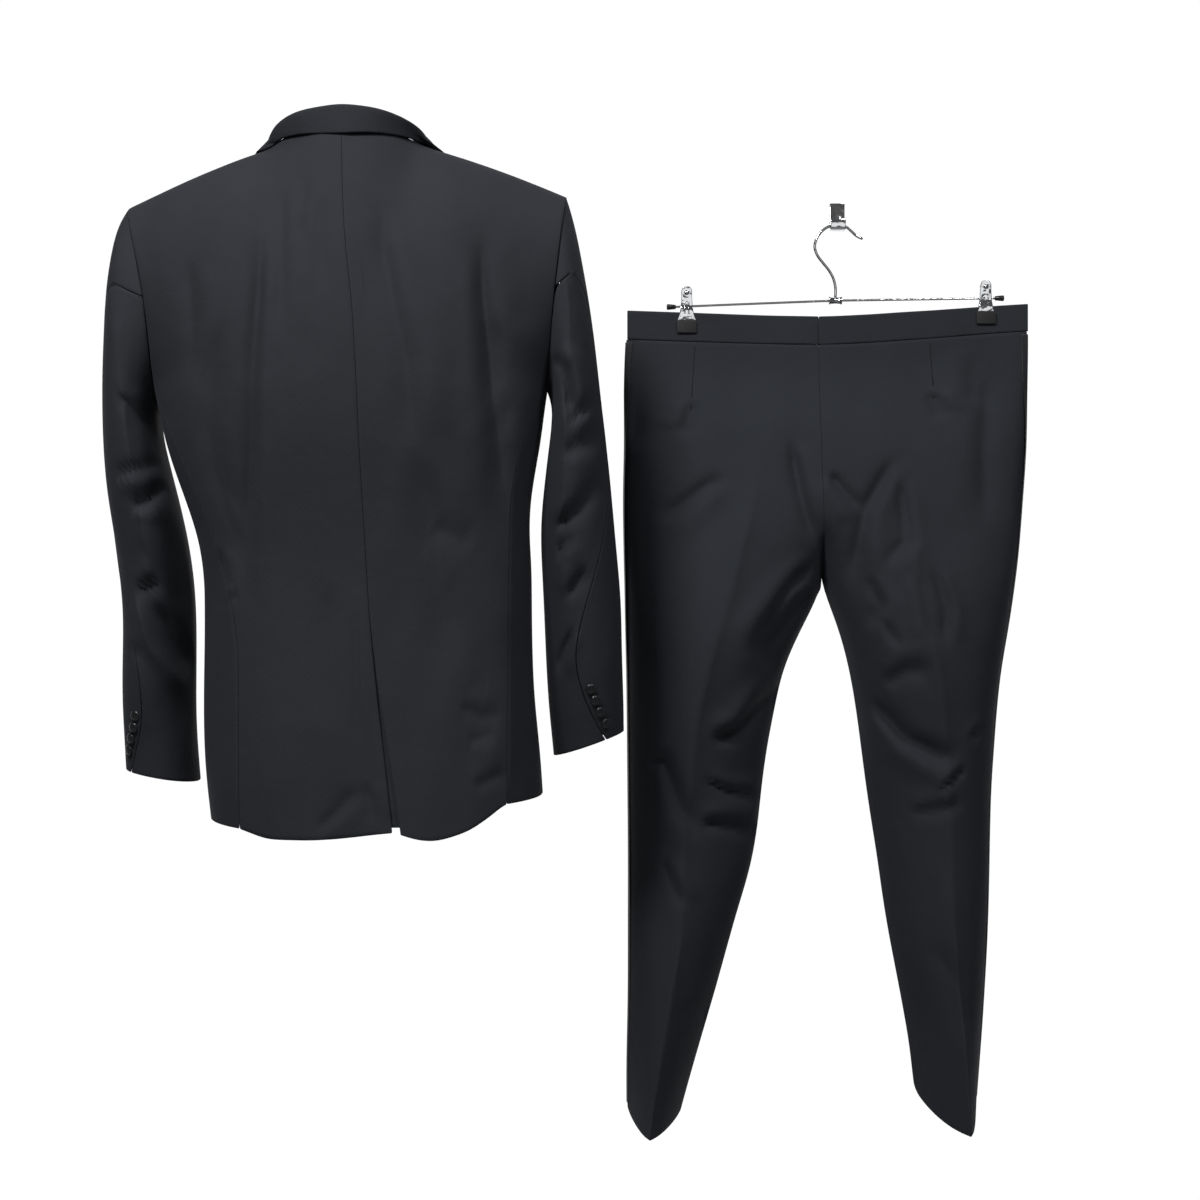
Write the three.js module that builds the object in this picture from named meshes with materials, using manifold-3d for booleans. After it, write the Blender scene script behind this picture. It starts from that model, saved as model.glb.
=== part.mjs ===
// A two-piece tuxedo seen from its back: the jacket stands filled out and hollow, with no wearer, and the
// trousers hang by their waistband from a clip hanger on a small wall hook. Millimetres, +Z up. The origin is
// where the wall hook carries the hanger. The garments' backs face -Y, and +X is to the viewer's right.
import * as THREE from 'three';
import Module from 'manifold-3d';
import { mergeVertices } from 'three/addons/utils/BufferGeometryUtils.js';

const wasm = await Module();
wasm.setup();

// Driving dimensions
const jacketWall = 2;
const trouserWall = 1.6;
const seamGap = 0.3;
const eyeDistance = 2000;
const eyeHeight = -517;
const eyeAside = 279.4;
const jacketPlace = new THREE.Vector3(-565, -182, 63.4);
const sectionPower = 2.4;
const chestLevel = -300;
const ventTop = -529;
const underlapWidth = 35;
const ventSlit = 8;
const cuffButtonRadius = 6.1;
const cuffButtonPitch = 12.9;
const frontButtonRadius = 10;
const rodRadius = 1.4;
const hookWireRadius = 1.7;

// Materials
const wool = new THREE.MeshStandardMaterial({ color: 0x2e3036, roughness: 0.85, metalness: 0 });
const satin = new THREE.MeshStandardMaterial({ color: 0x17181c, roughness: 0.35, metalness: 0 });
const chrome = new THREE.MeshStandardMaterial({ color: 0xc8ccd0, roughness: 0.15, metalness: 1 });
const blackRubber = new THREE.MeshStandardMaterial({ color: 0x141414, roughness: 0.7, metalness: 0 });

// Small helpers
const mix = (a, b, t) => a + (b - a) * t;
const clamp = (value, low, high) => Math.min(high, Math.max(low, value));
const radians = (degrees) => degrees * Math.PI / 180;
const vector = (x, y, z) => new THREE.Vector3(x, y, z);

function ease(from, to, value) {
  const t = clamp((value - from) / (to - from), 0, 1);
  return t * t * (3 - 2 * t);
}

function signedPower(value, power) {
  return Math.sign(value) * Math.abs(value) ** power;
}

function steps(from, to, count) {
  return Array.from({ length: count + 1 }, (_, i) => mix(from, to, i / count));
}

function table(columns, rows) {
  return { columns, rows };
}

// Reads one column of a table at a value of its first column, on a smooth curve without overshoot
function read(source, column, key) {
  const { columns, rows } = source;
  const c = columns.indexOf(column);
  const last = rows.length - 1;
  const way = Math.sign(rows[last][0] - rows[0][0]);
  if ((key - rows[0][0]) * way <= 0) return rows[0][c];
  if ((key - rows[last][0]) * way >= 0) return rows[last][c];
  let i = 0;
  while ((key - rows[i + 1][0]) * way > 0) i += 1;
  const slope = (j) => (rows[j + 1][c] - rows[j][c]) / (rows[j + 1][0] - rows[j][0]);
  const bend = (j) => {
    if (j === 0 || j === last) return slope(i);
    const before = slope(j - 1);
    const after = slope(j);
    return before * after <= 0 ? 0 : 2 * before * after / (before + after);
  };
  const span = rows[i + 1][0] - rows[i][0];
  const t = (key - rows[i][0]) / span;
  const start = rows[i][c] * (1 + 2 * t) * (1 - t) ** 2 + bend(i) * span * t * (1 - t) ** 2;
  return start + rows[i + 1][c] * t * t * (3 - 2 * t) + bend(i + 1) * span * t * t * (t - 1);
}

// A long fold: it follows x down a table of z and x, fades at both ends, and is a trough where depth is positive
function foldDepth(fold, x, z) {
  const { path, width, depth, fade } = fold;
  const top = path.rows[0][0];
  const bottom = path.rows[path.rows.length - 1][0];
  const off = (x - read(path, 'x', z)) / width;
  const ends = ease(top + fade, top - fade, z) * ease(bottom - fade, bottom + fade, z);
  return depth * ends * Math.exp(-off * off);
}

function foldsAt(folds, x, z) {
  return folds.reduce((sum, fold) => sum + foldDepth(fold, x, z), 0);
}

// The way out of a surface at u, v, from two short steps along it
function outward(surface, u, v, ends, side) {
  const near = 0.006;
  const lowU = Math.max(u - near, ends.u0);
  const highU = Math.min(u + near, ends.u1);
  const lowV = Math.max(v - near, ends.v0);
  const highV = Math.min(v + near, ends.v1);
  const along = surface(highU, v).sub(surface(lowU, v));
  const up = surface(u, highV).sub(surface(u, lowV));
  return along.cross(up).normalize().multiplyScalar(side);
}

// A closed cloth wall: the surface's points moved out by two distances, joined round their edges.
// side is 1 where u crossed with v points out, -1 where it points in.
function wall(surface, us, vs, side, options = {}) {
  const { out = 0, thick = jacketWall, trims = {}, turnNormal, holdInner } = options;
  const ends = { u0: us[0], u1: us[us.length - 1], v0: vs[0], v1: vs[vs.length - 1] };
  const outer = [];
  const inner = [];
  for (const v of vs) {
    const outerRow = [];
    const innerRow = [];
    for (const u of us) {
      let normal = outward(surface, u, v, ends, side);
      if (turnNormal) normal = turnNormal(u, v, normal);
      const point = surface(u, v);
      outerRow.push(point.clone().addScaledVector(normal, out));
      const inside = point.clone().addScaledVector(normal, out - thick);
      innerRow.push(holdInner ? holdInner(inside) : inside);
    }
    outer.push(outerRow);
    inner.push(innerRow);
  }
  trimEdges(outer, trims);
  trimEdges(inner, trims);
  return closeGrids(outer, inner, side);
}

// Moves each edge of a grid towards its neighbour, half a seam's gap unless a trim says more
function trimEdges(grid, trims) {
  const { first = seamGap / 2, last = seamGap / 2, bottom = seamGap / 2, top = seamGap / 2 } = trims;
  const pull = (point, next, by) => {
    if (by === 0) return;
    point.addScaledVector(next.clone().sub(point).normalize(), by);
  };
  const lastRow = grid.length - 1;
  const lastColumn = grid[0].length - 1;
  for (const row of grid) {
    pull(row[0], row[1], first);
    pull(row[lastColumn], row[lastColumn - 1], last);
  }
  for (let i = 0; i <= lastColumn; i += 1) {
    pull(grid[0][i], grid[1][i], bottom);
    pull(grid[lastRow][i], grid[lastRow - 1][i], top);
  }
}

function closeGrids(outer, inner, side) {
  const rows = outer.length;
  const columns = outer[0].length;
  const positions = [];
  for (const grid of [outer, inner]) {
    for (const row of grid) {
      for (const point of row) positions.push(point.x, point.y, point.z);
    }
  }
  const at = (layer, j, i) => layer * rows * columns + j * columns + i;
  const triangles = [];
  const quad = (a, b, c, d, turned) => {
    if (turned) triangles.push(a, c, b, a, d, c);
    else triangles.push(a, b, c, a, c, d);
  };
  for (let j = 0; j < rows - 1; j += 1) {
    for (let i = 0; i < columns - 1; i += 1) {
      quad(at(0, j, i), at(0, j, i + 1), at(0, j + 1, i + 1), at(0, j + 1, i), side < 0);
      quad(at(1, j, i), at(1, j, i + 1), at(1, j + 1, i + 1), at(1, j + 1, i), side > 0);
    }
  }
  for (let i = 0; i < columns - 1; i += 1) {
    quad(at(0, 0, i + 1), at(0, 0, i), at(1, 0, i), at(1, 0, i + 1), side < 0);
    quad(at(0, rows - 1, i), at(0, rows - 1, i + 1), at(1, rows - 1, i + 1), at(1, rows - 1, i), side < 0);
  }
  for (let j = 0; j < rows - 1; j += 1) {
    quad(at(0, j, 0), at(0, j + 1, 0), at(1, j + 1, 0), at(1, j, 0), side < 0);
    quad(at(0, j + 1, columns - 1), at(0, j, columns - 1), at(1, j, columns - 1), at(1, j + 1, columns - 1), side < 0);
  }
  const geometry = new THREE.BufferGeometry();
  geometry.setAttribute('position', new THREE.Float32BufferAttribute(positions, 3));
  geometry.setIndex(triangles);
  geometry.computeVertexNormals();
  return geometry;
}

function solidOf(geometry) {
  const bare = new THREE.BufferGeometry();
  bare.setAttribute('position', geometry.getAttribute('position'));
  bare.setIndex(geometry.index);
  const merged = mergeVertices(bare, 1e-4);
  const vertProperties = Float32Array.from(merged.getAttribute('position').array);
  const triVerts = Uint32Array.from(merged.index.array);
  return new wasm.Manifold(new wasm.Mesh({ numProp: 3, vertProperties, triVerts }));
}

function joined(first, second) {
  const mesh = solidOf(first).add(solidOf(second)).getMesh();
  const geometry = new THREE.BufferGeometry();
  geometry.setAttribute('position', new THREE.Float32BufferAttribute(mesh.vertProperties, 3));
  geometry.setIndex(Array.from(mesh.triVerts));
  geometry.computeVertexNormals();
  return geometry;
}

function piece(name, geometry, material) {
  const mesh = new THREE.Mesh(geometry, material.clone());
  mesh.name = name;
  return mesh;
}

// Jacket: the torso's level sections, in the jacket's own frame
const torso = table(['z', 'left', 'right', 'back', 'front'], [
  [-250, -211, 224, 128, 129],
  [-300, -205, 221.5, 129, 130],
  [-344, -199, 217, 127, 128],
  [-405, -180, 207.5, 121, 122],
  [-440, -169, 206, 118, 118],
  [-473, -160, 209, 117, 116],
  [-561, -161, 210, 121, 120],
  [-627, -162, 213, 128, 126],
  [-682, -161, 219.5, 134, 130],
  [-760, -152, 225, 141, 134],
]);
const centreBack = table(['z', 'x'], [
  [-14, 4], [-131, 13], [-211, 23], [-289, 28], [-365, 31], [-442, 35], [-524, 40], [-757, 67],
]);
const sideBackSeam = {
  left: table(['z', 'x'], [[-286, -204], [-312, -190], [-420, -139], [-493, -116], [-561, -100], [-751, -96]]),
  right: table(['z', 'x'], [[-274, 223], [-300, 214], [-415, 184], [-535, 182.5], [-725, 182]]),
};
const backHem = table(['x', 'z'], [
  [-152, -752], [-120, -749], [-90, -757], [-58, -764], [-25, -764], [30, -760], [66, -756],
  [85, -762], [105, -765], [140, -757], [163, -744], [182, -731], [225, -725],
]);
const frontCut = table(['z', 'cut'], [
  [-430, -14], [-470, -12], [-540, 2], [-620, 16], [-690, 36], [-735, 62], [-760, 84],
]);
const backFolds = [
  { width: 11, depth: 5, fade: 40, path: table(['z', 'x'], [[-115, -72], [-288, -80], [-365, -85], [-519, -98]]) },
  { width: 12, depth: -4, fade: 40, path: table(['z', 'x'], [[-115, -54], [-288, -60], [-443, -70], [-519, -76]]) },
  { width: 10, depth: -3, fade: 30, path: table(['z', 'x'], [[-150, -95], [-288, -103], [-420, -112]]) },
  { width: 9, depth: 3, fade: 40, path: table(['z', 'x'], [[-90, -38], [-160, -36], [-250, -40]]) },
  { width: 15, depth: 5.5, fade: 50, path: table(['z', 'x'], [[-100, 45], [-298, 71], [-381, 92], [-575, 113]]) },
  { width: 14, depth: -3, fade: 50, path: table(['z', 'x'], [[-130, 76], [-298, 98], [-467, 128], [-575, 142]]) },
  { width: 10, depth: 8, fade: 35, path: table(['z', 'x'], [[-120, 151], [-267, 158], [-350, 168], [-440, 177]]) },
  { width: 10, depth: -3.5, fade: 35, path: table(['z', 'x'], [[-150, 173], [-267, 179], [-350, 186]]) },
];

// The back's centre edge: one seam down to the vent, where the right panel's edge stands off a little
function centreEdge(hand, z) {
  const open = hand === 'right' ? ventSlit * ease(ventTop, -765, z) : 0;
  return read(centreBack, 'x', z) + open;
}

function torsoMiddle(z) {
  return (read(torso, 'left', z) + read(torso, 'right', z)) / 2;
}

// A point on the level section at z: turn is 0 at the side, a quarter turn at the back and minus that in front
function torsoPoint(z, turn, way) {
  const middle = torsoMiddle(z);
  const half = (read(torso, 'right', z) - read(torso, 'left', z)) / 2;
  const depth = turn > 0 ? -read(torso, 'back', z) : read(torso, 'front', z);
  const x = middle + way * half * signedPower(Math.cos(turn), 2 / sectionPower);
  const y = depth * Math.abs(Math.sin(turn)) ** (2 / sectionPower);
  return vector(x, y, z);
}

function turnAt(z, x, way) {
  const half = (read(torso, 'right', z) - read(torso, 'left', z)) / 2;
  const share = clamp(way * (x - torsoMiddle(z)) / half, -1, 1);
  return Math.acos(signedPower(share, sectionPower / 2));
}

// Sleeves: rings from the armhole (row 0) to the cuff (row 12), read on the jacket's middle plane. out and in
// are a ring's outer and inner ends, y and deep its middle and half depth, hind the hindarm seam's place.
const ringColumns = ['row', 'outX', 'outZ', 'inX', 'inZ', 'y', 'deep', 'scoop', 'hind'];
const sleeveRings = {
  left: table(ringColumns, [
    [0, -239, -86, -206, -300, 0, 62, 14, 90],
    [1, -249, -102, -208, -308, 0, 66, 8, 80],
    [2, -256, -136, -209, -320, 0, 70, 3, 55],
    [3, -261.5, -186, -207, -336, 0, 72, 0, 24],
    [4, -265, -240, -203, -356, 0, 71, 0, 2],
    [5, -267.5, -312, -191, -392, 1, 69, 0, -8],
    [6, -265, -388, -175, -448, 5, 66, 0, -6],
    [7, -254, -450, -167, -500, 12, 63, 0, 4],
    [8, -247, -500, -165, -545, 20, 61, 0, 36],
    [9, -245, -560, -165.5, -592, 27, 58, 0, 72],
    [10, -245, -625, -166, -645, 33, 55, 0, 86],
    [11, -243, -668, -163, -685, 38, 53, 0, 68],
    [12, -241, -701, -160, -716, 42, 52, 0, 47],
  ]),
  right: table(ringColumns, [
    [0, 243, -74, 221, -290, 0, 62, 1, 90],
    [1, 251, -99, 226.5, -303, 0, 66, 0, 74],
    [2, 258, -132, 226, -316, 0, 70, 0, 48],
    [3, 266.5, -180, 224.5, -336, 0, 72, 0, 22],
    [4, 274, -232, 221, -358, 0, 71, 0, 4],
    [5, 281.5, -305, 216, -392, 1, 69, 0, -6],
    [6, 293, -385, 211, -440, 5, 66, 0, 14],
    [7, 299, -450, 214, -490, 12, 63, 0, 48],
    [8, 304, -510, 217, -538, 20, 61, 0, 86],
    [9, 304.5, -562, 219.5, -590, 27, 58, 0, 108],
    [10, 306, -612, 222, -634, 33, 55, 0, 92],
    [11, 306.5, -642, 225, -665, 38, 53, 0, 76],
    [12, 306.5, -661, 227, -688, 42, 52, 0, 60],
  ]),
};
const forearmSeam = 215;
const lastRing = 12;
const frontArmhole = [215, 240, 265, 290, 315, 340, 360];
const backArmhole = [150, 130, 110, 90, 70, 45, 20, 0];
const lowArmhole = [150, 172, 194, 215];
const wayOf = { left: -1, right: 1 };

// Carries a point read on the middle plane to its own depth, along the line of sight
function alongSight(x, z, y) {
  const scale = 1 + y / eyeDistance;
  return { x: (x - eyeAside) * scale + eyeAside, z: (z - eyeHeight) * scale + eyeHeight };
}

function sleevePoint(hand, row, degrees) {
  const rings = sleeveRings[hand];
  const get = (column) => read(rings, column, row);
  const cosine = Math.cos(radians(degrees));
  const sine = Math.sin(radians(degrees));
  const x = mix(get('inX'), get('outX'), (1 + cosine) / 2) - wayOf[hand] * get('scoop') * sine * sine;
  const z = mix(get('inZ'), get('outZ'), (1 + cosine) / 2);
  const seen = alongSight(x, z, get('y'));
  return vector(seen.x, get('y') - get('deep') * sine, seen.z);
}

function armhole(hand, degrees) {
  return sleevePoint(hand, 0, degrees);
}

// Neck and shoulder lines
const neckBack = table(['share', 'x', 'y', 'z'], [
  [0, 4, -66, -14], [0.3, -24, -62, -14], [0.6, -52, -45, -15], [0.85, -73, -18, -17], [1, -79, 0, -19],
]);
const neckSide = { left: vector(-79, 0, -19), right: vector(83, 0, -17) };
const neckShare = 0.36;
const sideTopBack = 150;
const sideTopFront = 215;
const junction = 1.08;

function shoulderLine(hand, share) {
  const tip = armhole(hand, 0);
  const start = neckSide[hand];
  const line = start.clone().lerp(tip, share);
  line.z += 3 * Math.sin(Math.PI * share);
  return line;
}

function backTopEdge(hand, u) {
  if (u >= neckShare) return shoulderLine(hand, (u - neckShare) / (1 - neckShare));
  const share = u / neckShare;
  const left = vector(read(neckBack, 'x', share), read(neckBack, 'y', share), read(neckBack, 'z', share));
  if (hand === 'left') return left;
  const middle = neckBack.rows[0][1];
  const stretch = (neckSide.right.x - middle) / (middle - neckSide.left.x);
  left.x = middle + (middle - left.x) * stretch;
  left.z += share * (neckSide.right.z - neckSide.left.z);
  return left;
}

function hermite(start, end, startWay, endWay, t) {
  const point = start.clone().multiplyScalar((1 + 2 * t) * (1 - t) ** 2);
  point.addScaledVector(startWay, t * (1 - t) ** 2);
  point.addScaledVector(end, t * t * (3 - 2 * t));
  return point.addScaledVector(endWay, t * t * (t - 1));
}

function sideSeamHem(hand) {
  return read(backHem, 'z', read(sideBackSeam[hand], 'x', -750));
}

function sideSeamPoint(hand, z) {
  const x = read(sideBackSeam[hand], 'x', z);
  const end = armhole(hand, sideTopBack);
  const flat = torsoPoint(z, turnAt(z, x, wayOf[hand]), wayOf[hand]);
  const rise = ease(chestLevel, end.z, z);
  return flat.lerp(vector(end.x, end.y, z), rise * clamp((z - chestLevel) / (end.z - chestLevel), 0, 1));
}

// The back's outer edge above the chest: a short end of the side seam, then the armhole up to the shoulder
function backOuterEdge(hand, v) {
  if (v <= junction) {
    const top = armhole(hand, sideTopBack).z;
    return sideSeamPoint(hand, mix(chestLevel, top, (v - 1) / (junction - 1)));
  }
  return armhole(hand, backDegrees(v));
}

function backDegrees(v) {
  return mix(sideTopBack, 0, (v - junction) / (2 - junction));
}

function frontDegrees(v) {
  return mix(sideTopFront, 360, (v - frontJunction) / (2 - frontJunction));
}

// The back: v 0 is the hem, 1 the chest and 2 the neck and shoulder; u 0 is the centre seam
function backSurface(hand) {
  const way = wayOf[hand];
  const lower = (u, z) => {
    const middleTurn = turnAt(z, centreEdge(hand, z), way);
    const seam = sideSeamPoint(hand, Math.min(z, chestLevel));
    const seamTurn = turnAt(z, seam.x, way);
    return torsoPoint(z, mix(middleTurn, seamTurn, u), way);
  };
  const upper = (u, v) => {
    const t = v - 1;
    const start = lower(u, chestLevel);
    const end = backTopEdge(hand, u);
    const reach = start.distanceTo(end);
    const startWay = lower(u, chestLevel + 2).sub(lower(u, chestLevel - 2)).normalize().multiplyScalar(reach);
    const lean = ease(neckShare * 0.55, neckShare * 1.15, u);
    const endWay = vector(0, mix(0.45, 1, lean), mix(0.9, 0, lean)).normalize().multiplyScalar(reach);
    return hermite(start, end, startWay, endWay, t);
  };
  return (u, v) => {
    let point;
    if (v <= 1) {
      const bottom = u < 1 ? read(backHem, 'z', lower(u, -750).x) : sideSeamHem(hand);
      point = lower(u, mix(bottom, chestLevel, v));
    } else {
      point = upper(u, v);
      point.addScaledVector(backOuterEdge(hand, v).sub(upper(1, v)), u * u);
      const centre = read(centreBack, 'x', upper(0, v).z) - upper(0, v).x;
      point.x += centre * (1 - u) ** 2;
    }
    point.y += foldsAt(backFolds, point.x, point.z) * Math.min(1, (1 - u) * 4);
    return point;
  };
}

// The side panel, under the arm: u 0 is the front seam, 1 the side-back seam; v 2 is the armhole's lower arc
const frontSeamTurn = table(['z', 'turn'], [[-300, -0.29], [-345, -0.45], [-440, -0.72], [-760, -0.75]]);
const frontHemRise = { left: -750, right: -728 };
const torsoRows = 12;
const sideRows = 10;

function sideSurface(hand) {
  const way = wayOf[hand];
  const lower = (u, z) => {
    const seam = sideSeamPoint(hand, Math.min(z, chestLevel));
    return torsoPoint(z, mix(read(frontSeamTurn, 'turn', z), turnAt(z, seam.x, way), u), way);
  };
  const bottomAt = (u) => mix(frontHemRise[hand], sideSeamHem(hand), ease(0, 1, u));
  const levelAt = (u, row) => mix(bottomAt(u), chestLevel, row / torsoRows);
  const topPoint = (u) => armhole(hand, mix(sideTopFront, sideTopBack, u));
  const edgeLevel = (u, t) => {
    if (t <= 2 / 3) return levelAt(u, mix(sideRows, torsoRows, t * 1.5));
    return mix(chestLevel, topPoint(u).z, t * 3 - 2);
  };
  const upper = (u, t) => {
    const level = levelAt(u, sideRows);
    const start = lower(u, level);
    const end = topPoint(u);
    const reach = start.distanceTo(end);
    const startWay = lower(u, level + 2).sub(lower(u, level - 2)).normalize().multiplyScalar(reach);
    return hermite(start, end, startWay, vector(0, 0, reach), t);
  };
  return (u, v) => {
    if (v <= 1) return lower(u, mix(bottomAt(u), levelAt(u, sideRows), v));
    const point = upper(u, v - 1);
    const backEdge = sideSeamPoint(hand, edgeLevel(1, v - 1));
    const frontEdge = frontSeamPoint(hand, edgeLevel(0, v - 1));
    point.addScaledVector(backEdge.sub(upper(1, v - 1)), u * u);
    point.addScaledVector(frontEdge.sub(upper(0, v - 1)), (1 - u) ** 2);
    return point;
  };
}

function frontSeamPoint(hand, z) {
  const end = armhole(hand, sideTopFront);
  const flat = torsoPoint(z, read(frontSeamTurn, 'turn', z), wayOf[hand]);
  const share = clamp((z - chestLevel) / (end.z - chestLevel), 0, 1);
  return flat.lerp(vector(end.x, end.y, z), share);
}

// The front: u 0 is the free edge and the roll line, 1 the side seam; v 0 the hem, 1 the chest, 2 the shoulder
const rollLine = { left: -6, right: 30 };
const frontJunction = 1.06;
const overlapDepth = 3;

function frontEdgeX(hand, z) {
  const middle = torsoMiddle(z);
  if (z < frontCut.rows[0][0]) return middle + wayOf[hand] * read(frontCut, 'cut', z);
  const share = (z - frontCut.rows[0][0]) / (chestLevel - frontCut.rows[0][0]);
  return mix(middle + wayOf[hand] * frontCut.rows[0][1], rollLine[hand], share);
}

function frontSurface(hand) {
  const way = wayOf[hand];
  const lower = (u, z) => {
    const edgeTurn = -turnAt(z, frontEdgeX(hand, z), way);
    const seam = frontSeamPoint(hand, Math.min(z, chestLevel));
    const point = torsoPoint(z, mix(edgeTurn, -turnAt(z, seam.x, way), u), way);
    if (hand === 'right') point.y -= overlapDepth * ease(0.35, 0.16, u) * ease(-335, -370, z);
    return point;
  };
  const topEdge = (u) => shoulderLine(hand, u);
  const outerEdge = (v) => {
    if (v <= frontJunction) {
      const top = armhole(hand, sideTopFront).z;
      return frontSeamPoint(hand, mix(chestLevel, top, (v - 1) / (frontJunction - 1)));
    }
    return armhole(hand, frontDegrees(v));
  };
  const upper = (u, v) => {
    const start = lower(u, chestLevel);
    const end = topEdge(u);
    const reach = start.distanceTo(end);
    const startWay = lower(u, chestLevel + 2).sub(lower(u, chestLevel - 2)).normalize().multiplyScalar(reach);
    return hermite(start, end, startWay, vector(0, -reach, 0), v - 1);
  };
  return (u, v) => {
    if (v <= 1) {
      const rounded = 70 * (1 - ease(0, 0.45, u));
      return lower(u, mix(frontHemRise[hand] + rounded, chestLevel, v));
    }
    const point = upper(u, v);
    return point.addScaledVector(outerEdge(v).sub(upper(1, v)), u * u);
  };
}

// Sleeve walls: u runs round the sleeve, v down the rings; dents are the elbow's deepest folds
const sleeveDents = {
  left: [
    { row: 7.0, turn: 75, tall: 0.35, wide: 45, depth: 7 },
    { row: 7.7, turn: 50, tall: 0.3, wide: 30, depth: 5 },
    { row: 9.1, turn: 40, tall: 0.4, wide: 30, depth: 4 },
  ],
  right: [
    { row: 6.2, turn: 60, tall: 0.4, wide: 45, depth: 6 },
    { row: 5.1, turn: 150, tall: 0.5, wide: 35, depth: 6 },
    { row: 7.6, turn: 40, tall: 0.5, wide: 30, depth: 4 },
  ],
};

function sleeveSurface(hand, fromTurn, toTurn) {
  return (u, row) => {
    const degrees = mix(fromTurn(row), toTurn(row), u);
    const point = sleevePoint(hand, row, degrees);
    for (const dent of sleeveDents[hand]) {
      const rowOff = (row - dent.row) / dent.tall;
      const turnOff = (degrees - dent.turn) / dent.wide;
      point.y += dent.depth * Math.exp(-rowOff * rowOff - turnOff * turnOff);
    }
    return point;
  };
}

const hindTurn = (hand) => (row) => read(sleeveRings[hand], 'hind', row);
const topSleeveSurface = (hand) => sleeveSurface(hand, () => forearmSeam - 360, hindTurn(hand));
const underSleeveSurface = (hand) => sleeveSurface(hand, hindTurn(hand), () => forearmSeam);

// Round the top of the armhole, sleeve and body share one cut, straight out from the armhole's middle
function mitre(normal, degrees) {
  const share = Math.max(0, Math.cos(radians(degrees)));
  const radial = vector(0, -Math.sin(radians(degrees)), Math.cos(radians(degrees)));
  return normal.clone().multiplyScalar(1 - share).addScaledVector(radial, share).normalize();
}

function sleeveWall(hand, surface, us, degreesAt) {
  const turnNormal = (u, row, normal) => (row === 0 ? mitre(normal, degreesAt(u)) : normal);
  const trims = { first: 1.7 * seamGap, last: 1.7 * seamGap, bottom: seamGap };
  return wall(surface, us, steps(0, lastRing, lastRing), wayOf[hand], { turnNormal, trims });
}

const sharesOf = (places) => places.map((place) => (place - places[0]) / (places[places.length - 1] - places[0]));

function topSleeve(hand) {
  const places = [...frontArmhole.map((degrees) => degrees - 360), 20, 45, 70, 90];
  return sleeveWall(hand, topSleeveSurface(hand), sharesOf(places), (u) => mix(places[0], 90, u));
}

function underSleeve(hand) {
  const places = [90, 110, 130, ...lowArmhole];
  return sleeveWall(hand, underSleeveSurface(hand), sharesOf(places), (u) => mix(90, forearmSeam, u));
}

// Torso panels
const torsoLevels = steps(0, 1, torsoRows);

function backPanel(hand) {
  const turnNormal = (u, v, normal) => {
    if (u === 0 && v > 1) return normal.clone().setX(0).normalize();
    if (u < 1 || v < junction) return normal;
    return mitre(normal, backDegrees(v));
  };
  const upper = backArmhole.map((degrees) => mix(2, junction, degrees / sideTopBack));
  const panel = wall(backSurface(hand), steps(0, 1, 11), [...torsoLevels, ...upper], wayOf[hand], { turnNormal });
  return hand === 'right' ? joined(panel, ventUnderlap()) : panel;
}

// The strip under the vent, deeper than the lapped edge and joined to its own panel
function ventUnderlap() {
  const deeper = 4.2;
  const surface = (u, v) => {
    const z = mix(-751, ventTop + 4, v);
    const lap = underlapWidth * ease(ventTop + 4, ventTop - 40, z) + 4;
    const x = centreEdge('right', z) + mix(-lap, 6, u);
    const point = torsoPoint(z, turnAt(z, x, 1), 1);
    point.y += mix(deeper, 1, ease(0.82, 1, u));
    return point;
  };
  return wall(surface, [0, 0.4, 0.75, 0.87, 1], steps(0, 1, 6), 1, { thick: jacketWall - 0.6 });
}

function sidePanel(hand) {
  const columns = sharesOf([...lowArmhole].reverse());
  const levels = [...steps(0, 1, sideRows), ...steps(1, 2, 3).slice(1)];
  const trims = { first: 1.5 * seamGap, last: 1.5 * seamGap };
  return wall(sideSurface(hand), columns, levels, -wayOf[hand], { trims });
}

const frontLevels = [
  ...torsoLevels,
  ...frontArmhole.map((degrees) => mix(frontJunction, 2, (degrees - sideTopFront) / (360 - sideTopFront))),
];

const frontColumns = steps(0, 1, 8);

function frontPanel(hand) {
  const turnNormal = (u, v, normal) => {
    if (u < 1 || v < frontJunction) return normal;
    return mitre(normal, frontDegrees(v));
  };
  return wall(frontSurface(hand), frontColumns, frontLevels, -wayOf[hand], { turnNormal });
}

// Collar: one folded strip round the neck, up the stand, over the fold and down the fall. along runs from the
// left front end (-1) past the centre back (0) to the right front end (1).
const collarShoulder = 0.55;
const collarFoldRadius = 3.2;
const collarReach = 0.26;
const collarStand = table(['along', 'height', 'lean'], [
  [0, 25, 4], [0.3, 20, 4], [0.55, 12, 4], [0.8, 8, 4], [1, 7, 4],
]);

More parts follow.
